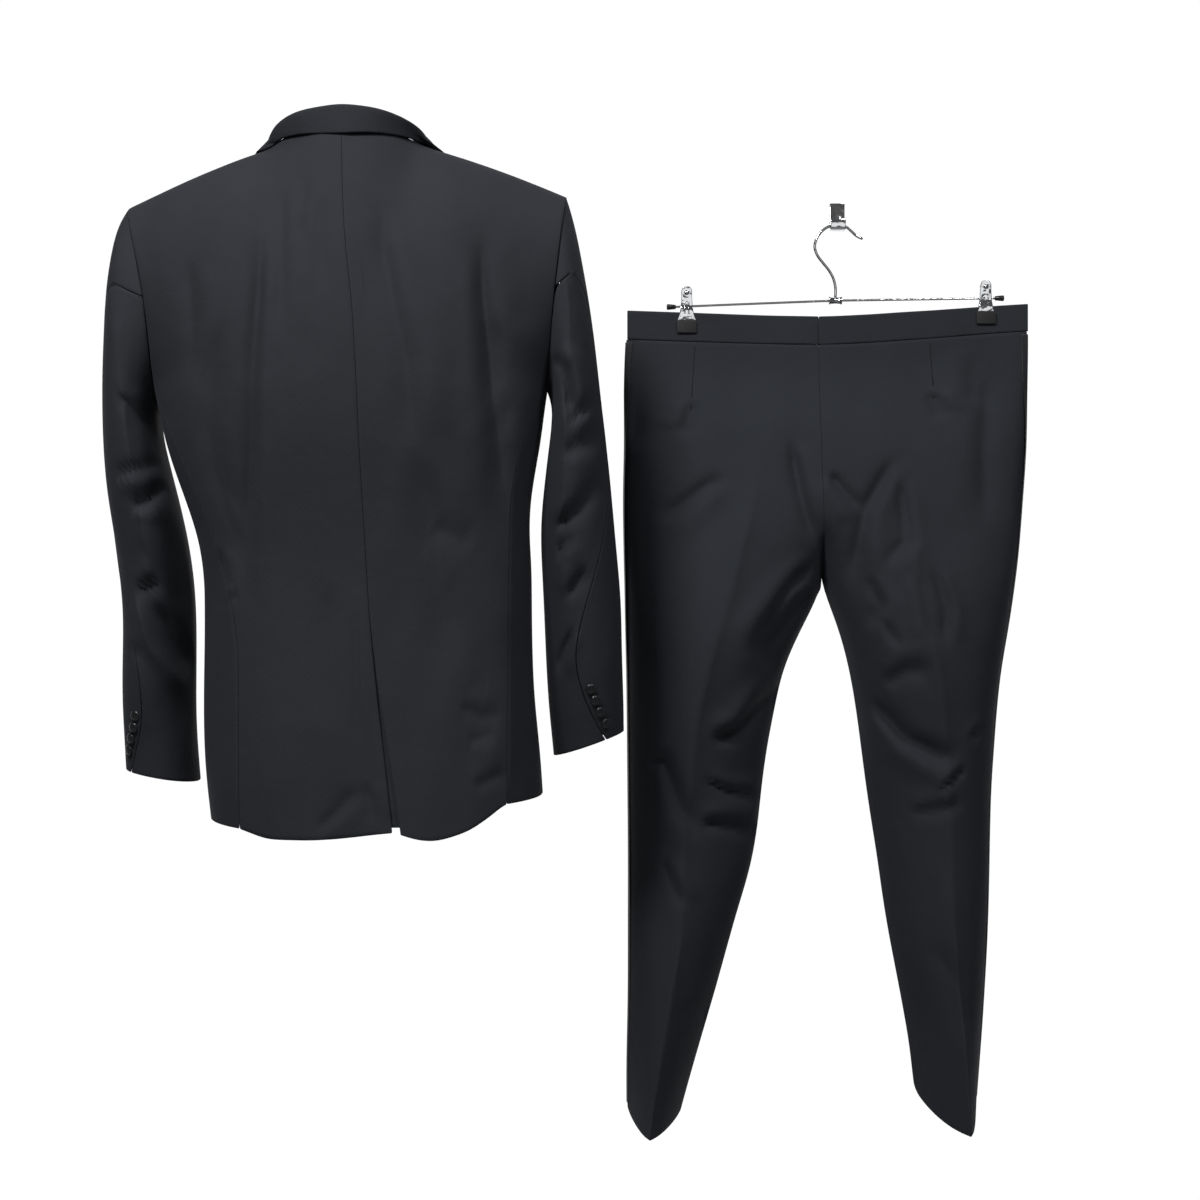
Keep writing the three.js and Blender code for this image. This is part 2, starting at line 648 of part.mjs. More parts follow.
function collarStation(along) {
  const hand = along < 0 ? 'left' : 'right';
  const away = Math.abs(along);
  const back = away <= collarShoulder;
  const surface = back ? backSurface(hand) : frontSurface(hand);
  const share = back ? away / collarShoulder : (away - collarShoulder) / (1 - collarShoulder);
  const seamPlace = back ? [neckShare * share, 2] : [0, 2 - collarReach * share];
  const edgePlace = back
    ? [neckShare * share + 0.075 * share, 2 - 0.032 * (1 - share) - 0.002]
    : [0.117 + 0.2 * share, 2 - 0.002 - 0.2 * share];
  const ends = { u0: 0, u1: 1, v0: 0, v1: 2 };
  const side = back ? wayOf[hand] : -wayOf[hand];
  const normal = outward(surface, edgePlace[0], edgePlace[1], ends, side);
  const seam = surface(...seamPlace);
  const edge = surface(...edgePlace).addScaledVector(normal, 3);
  const out = vector(seam.x - 2, seam.y - 8, 0).normalize();
  const height = read(collarStand, 'height', away);
  const fold = seam.clone().addScaledVector(out, read(collarStand, 'lean', away));
  fold.z += height - collarFoldRadius;
  const base = seam.clone().addScaledVector(out, -2.1);
  base.z += 0.8;
  const arc = [0, 45, 90, 135, 180].map((degrees) => {
    const point = fold.clone().addScaledVector(out, -collarFoldRadius * Math.cos(radians(degrees)));
    point.z += collarFoldRadius * Math.sin(radians(degrees));
    return point;
  });
  return [base, ...arc, arc[4].clone().lerp(edge, 0.5), edge];
}

function collar() {
  const surface = (along, v) => {
    const line = collarStation(along);
    const place = v * (line.length - 1);
    const i = Math.min(Math.floor(place), line.length - 2);
    return line[i].clone().lerp(line[i + 1], place - i);
  };
  return wall(surface, steps(-1, 1, 18), steps(0, 1, 7), -1);
}

// Lapels, lying on the fronts beside the roll line
const lapelWidth = {
  left: table(['v', 'share'], [[0.75, 0.03], [1, 0.27], [1.3, 0.44], [1.52, 0.52], [1.62, 0.5], [1.7, 0.34]]),
  right: table(['v', 'share'], [[0.9, 0.12], [1, 0.24], [1.3, 0.44], [1.52, 0.52], [1.62, 0.5], [1.7, 0.34]]),
};

function lapel(hand) {
  const front = frontSurface(hand);
  const width = lapelWidth[hand];
  const first = width.rows[0][0];
  const last = width.rows[width.rows.length - 1][0];
  const surface = (u, v) => front(0.005 + u * read(width, 'share', v), v);
  const levels = frontLevels.filter((v) => v > first + 0.03 && v < last - 0.03);
  return wall(surface, steps(0, 1, 4), [first, ...levels, last], -wayOf[hand], { out: 2.8, thick: 1.6 });
}

// A flat band laid on a front, across some of its own columns: a pocket's welt
function welt(hand, place) {
  const front = frontSurface(hand);
  const columns = frontColumns.filter((u) => u > place.u0 && u < place.u1);
  const surface = (u, v) => front(u, mix(place.v0, place.v1, v));
  return wall(surface, [place.u0, ...columns, place.u1], [0, 0.5, 1], -wayOf[hand], { out: 1.9, thick: 1.2 });
}

// Buttons: a covered dome on a flat back, turned once round its axis
function buttonGeometry(radius) {
  const thick = radius * 0.55;
  const profile = [
    [0, 0], [radius * 0.86, 0], [radius, thick * 0.35], [radius * 0.86, thick * 0.75], [radius * 0.45, thick], [0, thick],
  ];
  const geometry = new THREE.LatheGeometry(profile.map(([x, y]) => new THREE.Vector2(x, y)), 14);
  geometry.rotateX(Math.PI / 2);
  return geometry;
}

function seatButton(name, radius, point, normal, lift) {
  const button = piece(name, buttonGeometry(radius), satin);
  button.quaternion.setFromUnitVectors(vector(0, 0, 1), normal);
  button.position.copy(point).addScaledVector(normal, lift);
  return button;
}

const cuffButtonTop = { left: -643, right: -613 };
const cuffButtonInset = 11;

// The row of four on a cuff: it climbs from the hem beside the hindarm seam
function cuffButtons(hand) {
  const surface = topSleeveSurface(hand);
  const ends = { u0: 0, u1: 1, v0: 0, v1: lastRing };
  const placeOn = (z) => {
    let low = 8;
    let high = lastRing;
    for (let i = 0; i < 30; i += 1) {
      const middle = (low + high) / 2;
      if (surface(0.93, middle).z > z) low = middle;
      else high = middle;
    }
    return low;
  };
  return [0, 1, 2, 3].map((i) => {
    const row = placeOn(cuffButtonTop[hand] - i * cuffButtonPitch);
    const around = surface(1, row).distanceTo(surface(0.9, row)) / 0.1;
    const u = 1 - cuffButtonInset / around;
    const normal = outward(surface, u, row, ends, wayOf[hand]);
    return seatButton(`cuff_button_${hand}_${i + 1}`, cuffButtonRadius, surface(u, row), normal, 0.1);
  });
}

function frontButton() {
  const surface = frontSurface('left');
  const place = [0.085, 0.63];
  const normal = outward(surface, place[0], place[1], { u0: 0, u1: 1, v0: 0, v1: 2 }, 1);
  return seatButton('front_button', frontButtonRadius, surface(...place), normal, 0.6);
}

// Trousers: a leg's level sections, hung flat at the waistband and opening below it. inner is the centre back
// seam down to the crotch and the inseam below it; depth is half a leg's depth and point how sharp its crease.
const crotchLevel = -440;
const legColumns = ['z', 'outer', 'inner', 'crease', 'depth', 'point'];
const legs = {
  left: table(legColumns, [
    [-141, -254, -24, -112, 9, 0], [-200, -256, -24, -105, 24, 0], [-260, -255.5, -24.5, -100, 40, 0],
    [-330, -257, -24.5, -106, 56, 0], [-400, -256, -21, -129, 70, 0.05], [-440, -255, -18.7, -139, 79, 0.12],
    [-474, -254.5, -38, -147, 85, 0.2], [-502, -254, -50, -154, 87, 0.26], [-538, -253, -67, -162, 86, 0.34],
    [-574, -252.5, -74, -170, 83, 0.42], [-628, -252, -85, -182, 77, 0.5], [-690, -251.5, -93, -187, 70, 0.56],
    [-750, -251, -99, -189, 68, 0.62], [-823, -251, -120, -190.5, 70, 0.72], [-924, -251, -148, -206, 75, 0.84],
    [-1016, -253, -175, -221, 81, 0.95], [-1078, -252.5, -192, -228, 85, 1],
  ]),
  right: table(legColumns, [
    [-141, 227, -24, 74, 9, 0], [-200, 226.5, -24, 68, 24, 0], [-260, 226, -24.5, 66, 40, 0],
    [-330, 221.5, -24.5, 70, 56, 0], [-400, 216, -21, 82, 70, 0.05], [-440, 211, -18.3, 88, 79, 0.12],
    [-488, 204, 1, 95, 86, 0.22], [-514, 199, 6, 98, 87, 0.28], [-539, 194.5, 15, 101, 86, 0.34],
    [-571, 191, 20, 105, 83, 0.42], [-632, 186.5, 28, 121, 77, 0.5], [-694, 182.5, 36, 120, 70, 0.56],
    [-754, 181.5, 46, 122, 68, 0.62], [-827, 180, 56, 125, 70, 0.72], [-911, 176, 72, 132, 75, 0.84],
    [-1012, 169, 89, 141, 81, 0.95], [-1078, 164, 93, 143, 85, 1],
  ]),
};
const bandEdges = table(['x', 'top', 'bottom'], [
  [-254, -106, -141], [-181, -108.5, -143.5], [-24, -114, -148], [100, -107, -141], [180, -101, -134], [229, -98, -131],
]);
const hemHeights = {
  left: table(['share', 'z'], [[0, -1066], [0.5, -1078], [1, -1062]]),
  right: table(['share', 'z'], [[0, -1036], [0.5, -1074], [1, -1054]]),
};
const frontHemLift = 14;
const bandSide = { left: -253, right: 228.5 };
const bandFlat = 2.6;
const bandMiddle = -3;
const bandThick = 2.2;
const clipSpan = 165;

// Half the depth of the flat waist: pinched at the clips, a little open between them
function waistDepth(x) {
  const off = (x - bandMiddle) / clipSpan;
  return bandFlat + 7 * Math.max(0, 1 - off * off) ** 1.5;
}

const legFolds = [
  { width: 9, depth: 4, fade: 20, path: table(['z', 'x'], [[-310, -130], [-345, -165], [-372, -200]]) },
  { width: 10, depth: 7, fade: 30, path: table(['z', 'x'], [[-255, -52], [-315, -44], [-365, -34], [-400, -24]]) },
  { width: 9, depth: 5, fade: 20, path: table(['z', 'x'], [[-405, -38], [-440, -62], [-486, -86], [-525, -100]]) },
  { width: 10, depth: 6, fade: 25, path: table(['z', 'x'], [[-290, 68], [-340, 32], [-400, 22], [-445, 15]]) },
  { width: 9, depth: 5, fade: 25, path: table(['z', 'x'], [[-300, 78], [-380, 82], [-420, 50]]) },
  { width: 9, depth: 5, fade: 20, path: table(['z', 'x'], [[-415, 92], [-490, 108], [-510, 104]]) },
  { width: 12, depth: 5, fade: 40, path: table(['z', 'x'], [[-170, 190], [-260, 180], [-370, 177]]) },
  { width: 12, depth: 7, fade: 20, path: table(['z', 'x'], [[-575, -170], [-600, -140], [-625, -110]]) },
  { width: 9, depth: 5, fade: 20, path: table(['z', 'x'], [[-655, -235], [-700, -205], [-745, -185]]) },
  { width: 10, depth: 6, fade: 20, path: table(['z', 'x'], [[-560, 30], [-610, 70], [-645, 120]]) },
];

// One face of a leg: u runs from the inner edge over the crease (half way) to the outseam, v from the waist (0)
// past the crotch (1) to the hem (2)
function legSurface(hand, face) {
  const rows = legs[hand];
  return (u, v) => {
    const pick = (column, z) => read(rows, column, z);
    const shareAt = (z) => {
      const crease = (pick('crease', z) - pick('inner', z)) / (pick('outer', z) - pick('inner', z));
      return u < 0.5
        ? crease * (1 - Math.cos(Math.PI * u))
        : crease + (1 - crease) * Math.sin(Math.PI * (u - 0.5));
    };
    const topX = mix(pick('inner', -141), pick('outer', -141), shareAt(-141));
    const top = read(bandEdges, 'bottom', topX) - 0.2;
    const hem = read(hemHeights[hand], 'z', u) + (face > 0 ? frontHemLift * (1 - Math.abs(2 * u - 1)) : 0);
    const z = v <= 1 ? mix(top, crotchLevel, v) : mix(crotchLevel, hem, v - 1);
    const share = shareAt(z);
    const inner = pick('inner', z);
    const outer = pick('outer', z);
    const x = mix(inner, outer, share);
    const crease = (pick('crease', z) - inner) / (outer - inner);
    const away = share < crease ? (crease - share) / crease : (share - crease) / (1 - crease);
    const sharp = pick('point', z);
    const depth = pick('depth', z);
    const round = depth * Math.max(0, 1 - away ** (2.2 - 0.85 * sharp)) ** (1 / (2.2 - 1.1 * sharp));
    const seat = depth * Math.max(0, 1 - share ** 2.4) ** (1 / 2.4);
    const full = mix(seat, round, ease(-345, crotchLevel, z));
    const flat = waistDepth(x);
    let y = mix(flat, full, ease(top, top - 120, z));
    if (face < 0) y -= foldsAt(legFolds, x, z) * Math.min(1, 5 * u, 5 * (1 - u));
    return vector(x, face * Math.max(y, seamGap / 2), z);
  };
}

const legLevels = [...steps(0, 1, 9), ...steps(1, 2, 13).slice(1)];

function legPanel(hand, face) {
  const side = face * wayOf[hand];
  const holdInner = (point) => {
    point.y = face * Math.max(seamGap / 2, face * point.y);
    return point;
  };
  const turnNormal = (u, v, normal) => (u === 0 && v < 0.95 ? normal.clone().setX(0).normalize() : normal);
  const columns = steps(0, 1, face < 0 ? 8 : 6);
  return wall(legSurface(hand, face), columns, legLevels, side, { thick: trouserWall, holdInner, turnNormal });
}

// Waistband: from the centre back round the side to the centre front, as one flat fold
function bandPoint(hand, u, v) {
  const way = wayOf[hand];
  const centre = -24;
  const turnX = bandSide[hand] - way * bandFlat;
  const half = 0.46;
  let x;
  let y;
  if (u <= half || u >= 1 - half) {
    const share = u <= half ? u / half : (1 - u) / half;
    x = mix(centre, turnX, share);
    y = (u <= half ? -1 : 1) * waistDepth(x);
  } else {
    const degrees = mix(-90, 90, (u - half) / (1 - 2 * half));
    x = turnX + way * bandFlat * Math.cos(radians(degrees));
    y = bandFlat * Math.sin(radians(degrees));
  }
  return vector(x, y, mix(read(bandEdges, 'top', x), read(bandEdges, 'bottom', x), v));
}

function waistband(hand) {
  const us = [...steps(0, 0.46, 9), 0.473, 0.487, 0.5, 0.513, 0.527, ...steps(0.54, 1, 7)];
  return wall((u, v) => bandPoint(hand, u, v), us, [0, 0.5, 1], -wayOf[hand], { thick: bandThick });
}

// Stripe down each outseam: it wraps the edge, half its width on the back and half on the front
const stripeHalf = 7;

function shareAtDistance(surface, v, distance) {
  let u = 1;
  let walked = 0;
  let last = surface(1, v);
  while (walked < distance) {
    u -= 0.004;
    const next = surface(u, v);
    walked += next.distanceTo(last);
    last = next;
  }
  return u;
}

function stripe(hand) {
  const back = legSurface(hand, -1);
  const front = legSurface(hand, 1);
  const surface = (u, v) => {
    if (u > 0.4 && u < 0.6) return back(1, v).lerp(front(1, v), (u - 0.4) / 0.2);
    const face = u <= 0.4 ? back : front;
    const distance = stripeHalf * (u <= 0.4 ? (0.4 - u) / 0.4 : (u - 0.6) / 0.4);
    return face(shareAtDistance(face, v, distance), v);
  };
  const options = { out: seamGap + 0.9, thick: 0.9 };
  const levels = [0.01, ...legLevels.slice(1, -1), 1.99];
  return wall(surface, [0, 0.4, 0.5, 0.6, 1], levels, -wayOf[hand], options);
}

// Fly: the lapped strip down the front's centre
function fly() {
  const front = legSurface('left', 1);
  return wall(front, [0.03, 1 / 6, 1 / 3], [0.02, ...legLevels.slice(1, 7)], -1, { out: 1.8, thick: 1.2 });
}

// Clip hanger, in the trousers' plane
const rodPoints = [
  vector(-194, 0, -101.6), vector(-80, 0, -97), vector(-3, 0, -94.2), vector(80, 0, -92.8), vector(188, 0, -91.2),
];
const hookPoints = [
  vector(-2.9, 0, -90), vector(-3.2, 0, -76), vector(-5.6, 0, -67), vector(-10.5, 0, -58), vector(-18, 0, -48.5),
  vector(-24.6, 0, -39.5), vector(-27.7, 0, -29.5), vector(-25.6, 0, -20), vector(-19.2, 0, -10.8), vector(-10, 0, -4.8),
  vector(0, 0, -3), vector(9, 0, -5), vector(16, 0, -10.5), vector(22, 0, -16), vector(28.6, 0, -19.4),
];
const ferrulePlace = vector(-3, 0, -94.2);
const clipPlaces = { left: vector(-181.5, 0, -83.6), right: vector(177.5, 0, -76.5) };
const clipDepth = { left: 35.2, right: 31.6 };

function tubeAlong(points, radius, sides, along) {
  const shape = new THREE.Shape();
  for (let i = 0; i < sides; i += 1) {
    const angle = 2 * Math.PI * i / sides;
    if (i === 0) shape.moveTo(radius, 0);
    else shape.lineTo(radius * Math.cos(angle), radius * Math.sin(angle));
  }
  const extrudePath = new THREE.CatmullRomCurve3(points);
  return new THREE.ExtrudeGeometry(shape, { steps: along, extrudePath, bevelEnabled: false });
}

function turned(profile, sides) {
  const geometry = new THREE.LatheGeometry(profile.map(([x, y]) => new THREE.Vector2(x, y)), sides);
  return geometry.rotateZ(-Math.PI / 2);
}

function ferrule() {
  const bore = rodRadius + seamGap;
  const profile = [
    [bore, -7.8], [4.8, -7.8], [4.8, -6.4], [3.9, -5.8], [3.9, 5.8], [4.8, 6.4], [4.8, 7.8], [bore, 7.8], [bore, -7.8],
  ];
  return turned(profile, 16);
}

function rodCap(way) {
  const profile = [[0, 0], [2.5, 0], [3.6, way * 9.6], [3, way * 11.2], [0, way * 11.2]];
  return turned(way > 0 ? profile : [...profile].reverse(), 12);
}

// A clip's plate: a round head, a waist over the rod, and a flare that stands off to clear the band
const clipPlate = table(['down', 'half', 'off'], [
  [-6.7, 2.4, 1.75], [-5.2, 4.7, 1.75], [-2.6, 6.2, 1.75], [0, 6.7, 1.75], [3, 6.3, 1.75], [7, 6.4, 1.75],
  [14, 7, 1.75], [18, 7.2, 1.8], [21.5, 7.6, 3.1], [27, 8.6, 3.1], [31, 10, 3.1], [36, 11.6, 3.1],
]);
const plateThick = 1.1;
const jawHeight = 14.2;

function clipPlateGeometry(face, length) {
  const surface = (u, v) => {
    const down = mix(-6.7, length, v);
    const half = read(clipPlate, 'half', down);
    return vector(mix(-half, half, u), face * read(clipPlate, 'off', down), -down);
  };
  const options = { out: plateThick, thick: plateThick };
  return wall(surface, [0, 0.5, 1], [0, 0.035, 0.1, 0.16, 0.23, 0.45, 0.58, 0.66, 0.8, 1], face, options);
}

function clipJawGeometry(face) {
  const shape = new THREE.Shape();
  const half = 11.8;
  const round = 1.6;
  shape.moveTo(-half + round, -jawHeight);
  shape.lineTo(half - round, -jawHeight);
  shape.quadraticCurveTo(half, -jawHeight, half, -jawHeight + round);
  shape.lineTo(half, -round);
  shape.quadraticCurveTo(half, 0, half - round, 0);
  shape.lineTo(-half + round, 0);
  shape.quadraticCurveTo(-half, 0, -half, -round);
  shape.lineTo(-half, -jawHeight + round);
  shape.quadraticCurveTo(-half, -jawHeight, -half + round, -jawHeight);
  const geometry = new THREE.ExtrudeGeometry(shape, { depth: 2.4, bevelEnabled: false, curveSegments: 3 });
  geometry.rotateX(Math.PI / 2);
  geometry.translate(0, face > 0 ? bandFlat + seamGap + 2.4 : -(bandFlat + seamGap), 0);
  return geometry;
}

function clip(side) {
  const group = new THREE.Group();
  group.position.copy(clipPlaces[side]);
  const length = clipDepth[side];
  for (const [faceName, face] of [['back', -1], ['front', 1]]) {
    group.add(piece(`clip_${side}_${faceName}_plate`, clipPlateGeometry(face, length), chrome));
    const jaw = piece(`clip_${side}_${faceName}_jaw`, clipJawGeometry(face), blackRubber);
    jaw.position.z = -length - seamGap;
    group.add(jaw);
  }
  const pivot = new THREE.CylinderGeometry(2.3, 2.3, 2 * (1.75 - seamGap), 12);
  group.add(piece(`clip_${side}_pivot`, pivot, chrome));
  return group;
}

// Wall hook: a plate against the wall with a lip turned up in front of the hanger's wire
function wallHook() {
  const profile = [[7.5, 24], [5, 24], [5, -4], [3.4, -7.1], [-3.2, -7.1], [-3.6, 2.5],
    [-6, 2.5], [-6, -7], [-4, -9.4], [7.5, -9.4]];
  const shape = new THREE.Shape(profile.map(([y, z]) => new THREE.Vector2(y, z)));
  const geometry = new THREE.ExtrudeGeometry(shape, { depth: 18, bevelEnabled: false });
  geometry.rotateX(Math.PI / 2);
  geometry.rotateZ(Math.PI / 2);
  return geometry.translate(-9, 0, 0);
}

// The whole set
const tuxedo = new THREE.Group();
const jacket = new THREE.Group();
jacket.position.copy(jacketPlace);
tuxedo.add(jacket);

for (const hand of ['left', 'right']) {
  jacket.add(piece(`back_${hand}`, backPanel(hand), wool));
  jacket.add(piece(`side_${hand}`, sidePanel(hand), wool));
  jacket.add(piece(`front_${hand}`, frontPanel(hand), wool));
  jacket.add(piece(`lapel_${hand}`, lapel(hand), satin));
  jacket.add(piece(`sleeve_${hand}_top`, topSleeve(hand), wool));
  jacket.add(piece(`sleeve_${hand}_under`, underSleeve(hand), wool));
  jacket.add(piece(`pocket_${hand}`, welt(hand, { u0: 0.1, u1: 0.93, v0: 0.44, v1: 0.47 }), satin));
  jacket.add(...cuffButtons(hand));
}
jacket.add(piece('breast_welt', welt('left', { u0: 0.42, u1: 0.94, v0: 1.08, v1: 1.16 }), wool));
jacket.add(piece('collar', collar(), wool));
jacket.add(frontButton());

for (const hand of ['left', 'right']) {
  tuxedo.add(piece(`leg_back_${hand}`, legPanel(hand, -1), wool));
  tuxedo.add(piece(`leg_front_${hand}`, legPanel(hand, 1), wool));
  tuxedo.add(piece(`waistband_${hand}`, waistband(hand), wool));
  tuxedo.add(piece(`stripe_${hand}`, stripe(hand), satin));
  tuxedo.add(clip(hand));
}
tuxedo.add(piece('fly', fly(), wool));

tuxedo.add(piece('rod', tubeAlong(rodPoints, rodRadius, 8, 10), chrome));
tuxedo.add(piece('hanger_hook', tubeAlong(hookPoints, hookWireRadius, 8, 30), chrome));
tuxedo.add(piece('wall_hook', wallHook(), chrome));
const ferrulePiece = piece('ferrule', ferrule(), chrome);
ferrulePiece.position.copy(ferrulePlace);
tuxedo.add(ferrulePiece);
const capPlaces = { left: [vector(-194.4, 0, -101.7), -1], right: [vector(188.4, 0, -91.2), 1] };
for (const [side, [place, way]] of Object.entries(capPlaces)) {
  const cap = piece(`rod_cap_${side}`, rodCap(way), blackRubber);
  cap.position.copy(place);
  tuxedo.add(cap);
}

export default tuxedo;
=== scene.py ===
# A two-piece tuxedo seen from its back: a filled-out jacket, and trousers on a clip hanger and a wall hook.
# Each cloth panel is its solid divided finely, with rounded edges at the seams and the listed folds laid in.
import math
import bmesh
import bpy
import numpy as np
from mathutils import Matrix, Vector


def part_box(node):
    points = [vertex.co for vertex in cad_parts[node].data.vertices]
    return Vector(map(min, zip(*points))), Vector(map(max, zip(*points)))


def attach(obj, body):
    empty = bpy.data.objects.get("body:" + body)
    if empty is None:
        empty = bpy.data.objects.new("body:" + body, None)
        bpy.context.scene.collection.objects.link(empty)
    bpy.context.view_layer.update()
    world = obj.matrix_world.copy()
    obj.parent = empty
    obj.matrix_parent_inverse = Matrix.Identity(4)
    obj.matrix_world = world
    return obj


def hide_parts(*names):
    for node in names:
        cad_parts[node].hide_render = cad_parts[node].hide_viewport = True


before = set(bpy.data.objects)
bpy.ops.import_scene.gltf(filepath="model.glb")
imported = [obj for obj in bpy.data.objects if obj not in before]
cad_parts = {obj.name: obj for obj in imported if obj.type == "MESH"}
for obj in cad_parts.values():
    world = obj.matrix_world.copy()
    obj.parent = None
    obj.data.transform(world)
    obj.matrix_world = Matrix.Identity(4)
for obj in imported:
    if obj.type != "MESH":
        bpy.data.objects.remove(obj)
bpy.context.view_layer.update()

HANDS = ("left", "right")

# Sizes in metres
MM = 0.001
WELD = 2e-5
CLOTH_RIM = 0.0006
THIN_RIM = 0.0003
FINE_RIM = 0.0002

# Where each garment's middle is between its back and its front, and how far from it folds are at full depth
JACKET_MIDDLE = -0.182
CUFF_FORWARD = 0.042
ARM_TOP = -0.25
ARM_END = -0.64
JACKET_REACH = 0.045
SLEEVE_REACH = 0.04
TROUSER_REACH = 0.015

# The seam in the middle of the jacket's back: heights z, places x, and the strip of cloth that lies behind it
SEAM_HEIGHTS = [-0.461, -0.302, -0.148, -0.068, 0.049]
SEAM_PLACES = [-0.525, -0.534, -0.542, -0.552, -0.561]
ALLOWANCE_HALF_WIDTH = 0.014
ALLOWANCE_LOW = -0.462
ALLOWANCE_HIGH = 0.047
ALLOWANCE_INWARD = 0.0018
ALLOWANCE_WALL = 0.0006

# Angles between faces, in degrees: edges are creased from the soft one to the sharp one
SOFT_EDGE = 38
SHARP_EDGE = 62
BEVELLED_EDGE = 35
FLAT = 1


# Smooth lines and weights
def ease(low, high, value):
    """A smooth step from 0 at the low value to 1 at the high one."""
    t = np.clip((value - low) / (high - low), 0, 1)
    return t * t * (3 - 2 * t)


def smooth_through(points, at):
    """Points on a smooth curve through the given ones, at shares of the length of the straight spans."""
    spans = np.linalg.norm(np.diff(points, axis=0), axis=1)
    keys = np.concatenate([[0.0], np.cumsum(spans)])
    spans = spans[:, None]
    slopes = np.diff(points, axis=0) / spans
    bends = np.empty_like(points)
    bends[1:-1] = (slopes[:-1] * spans[1:] + slopes[1:] * spans[:-1]) / (spans[:-1] + spans[1:])
    bends[0] = 1.5 * slopes[0] - 0.5 * bends[1]
    bends[-1] = 1.5 * slopes[-1] - 0.5 * bends[-2]
    at = at * keys[-1]
    i = np.clip(np.searchsorted(keys, at, side="right") - 1, 0, len(keys) - 2)
    width = (keys[i + 1] - keys[i])[:, None]
    t = ((at - keys[i]) / (keys[i + 1] - keys[i]))[:, None]
    start = points[i] * (1 + 2 * t) * (1 - t) ** 2 + bends[i] * width * t * (1 - t) ** 2
    return start + points[i + 1] * t * t * (3 - 2 * t) + bends[i + 1] * width * t * t * (t - 1)


# Folds, a row for each: width, depth, side and path, in millimetres. The path is a list of points x, z on
# the garment. The cloth stands up beside the trough on one side: 1 is the left of the path's direction, as
# seen from behind, and -1 its right. Side 0 is a pressed crease, which stands out. A negative depth makes a
# ridge.
JACKET_FOLDS = [
    (8, 4.2, 1, [
        (-641, -55), (-641, -130), (-645, -202), (-648, -275), (-652, -352), (-656, -409), (-664, -446),
    ]),
    (14, 2.8, -1, [(-673, -150), (-687, -202), (-694, -275), (-687, -326), (-668, -380)]),
    (12, 2.4, 1, [(-717, -95), (-712, -182), (-720, -230)]),
    (9, 2.0, 1, [(-621, -10), (-619, -84), (-616, -120), (-619, -190)]),
    (7, 1.4, 1, [(-595, -8), (-600, -47), (-597, -90)]),
    (8, 1.5, -1, [(-580, -30), (-576, -84), (-571, -140)]),
    (13, 3.4, 1, [(-516, -35), (-513, -84), (-500, -146), (-487, -202), (-482, -264), (-470, -330)]),
    (20, 3.0, 1, [(-478, -290), (-466, -342), (-451, -409), (-440, -470), (-432, -540)]),
    (9, 5.0, -1, [(-412, -66), (-409, -130), (-403, -192), (-398, -249), (-391, -306), (-383, -366)]),
    (15, 2.8, 1, [(-396, -150), (-388, -220), (-378, -290)]),
    (4, 1.1, 1, [(-538, -455), (-537, -533), (-535, -614)]),
    (16, 1.6, 1, [(-564, -430), (-569, -507), (-567, -590)]),
    (7, 2.2, -1, [(-577, -692), (-554, -670), (-532, -645)]),
    (8, 1.4, 1, [(-526, -640), (-518, -684)]),
    (9, 1.8, 1, [(-432, -562), (-409, -577), (-384, -570)]),
    (7, 1.6, -1, [(-424, -602), (-392, -592)]),
    (8, 1.9, 1, [(-418, -649), (-380, -632)]),
    (8, 2.4, 1, [(-372, -372), (-340, -362)]),
    (8, 2.2, 1, [(-358, -425), (-350, -471), (-363, -508), (-366, -566)]),
    (7, 2.4, 1, [(-687, -398), (-682, -435), (-696, -466)]),
    (6, 1.6, -1, [(-664, -445), (-686, -463)]),
    (16, 1.8, -1, [(-462, -376), (-416, -396)]),
    (15, 5.0, -1, [(-362, -420), (-360, -520), (-358, -600), (-356, -690)]),
]
SLEEVE_FOLDS = {
    "left": [
        (7, 4.0, -1, [(-812, -323), (-776, -312), (-742, -289)]),
        (9, 5.0, -1, [(-789, -362), (-771, -345), (-737, -302)]),
        (7, 3.0, 1, [(-786, -444), (-758, -432)]),
        (9, -3.6, 1, [(-790, -440), (-771, -504), (-752, -536), (-729, -572)]),
        (12, 3.2, 1, [(-764, -455), (-752, -500), (-738, -540)]),
        (8, 2.2, 1, [(-800, -230), (-778, -262), (-750, -274)]),
        (6, 1.8, 1, [(-800, -505), (-776, -512)]),
        (20, 6.5, -1, [(-736, -330), (-737, -410), (-736, -500), (-740, -620)]),
    ],
    "right": [
        (8, 4.6, 1, [(-337, -188), (-324, -208), (-315, -262)]),
        (6, 3.4, -1, [(-322, -267), (-307, -254), (-278, -227)]),
        (9, 3.0, 1, [(-338, -380), (-307, -355), (-284, -318)]),
        (6, 2.2, -1, [(-333, -402), (-313, -386)]),
        (5, 2.4, 1, [(-314, -485), (-325, -509), (-334, -536)]),
        (8, 2.8, 1, [(-320, -452), (-301, -418)]),
        (9, 2.4, -1, [(-330, -300), (-300, -286), (-280, -262)]),
    ],
}
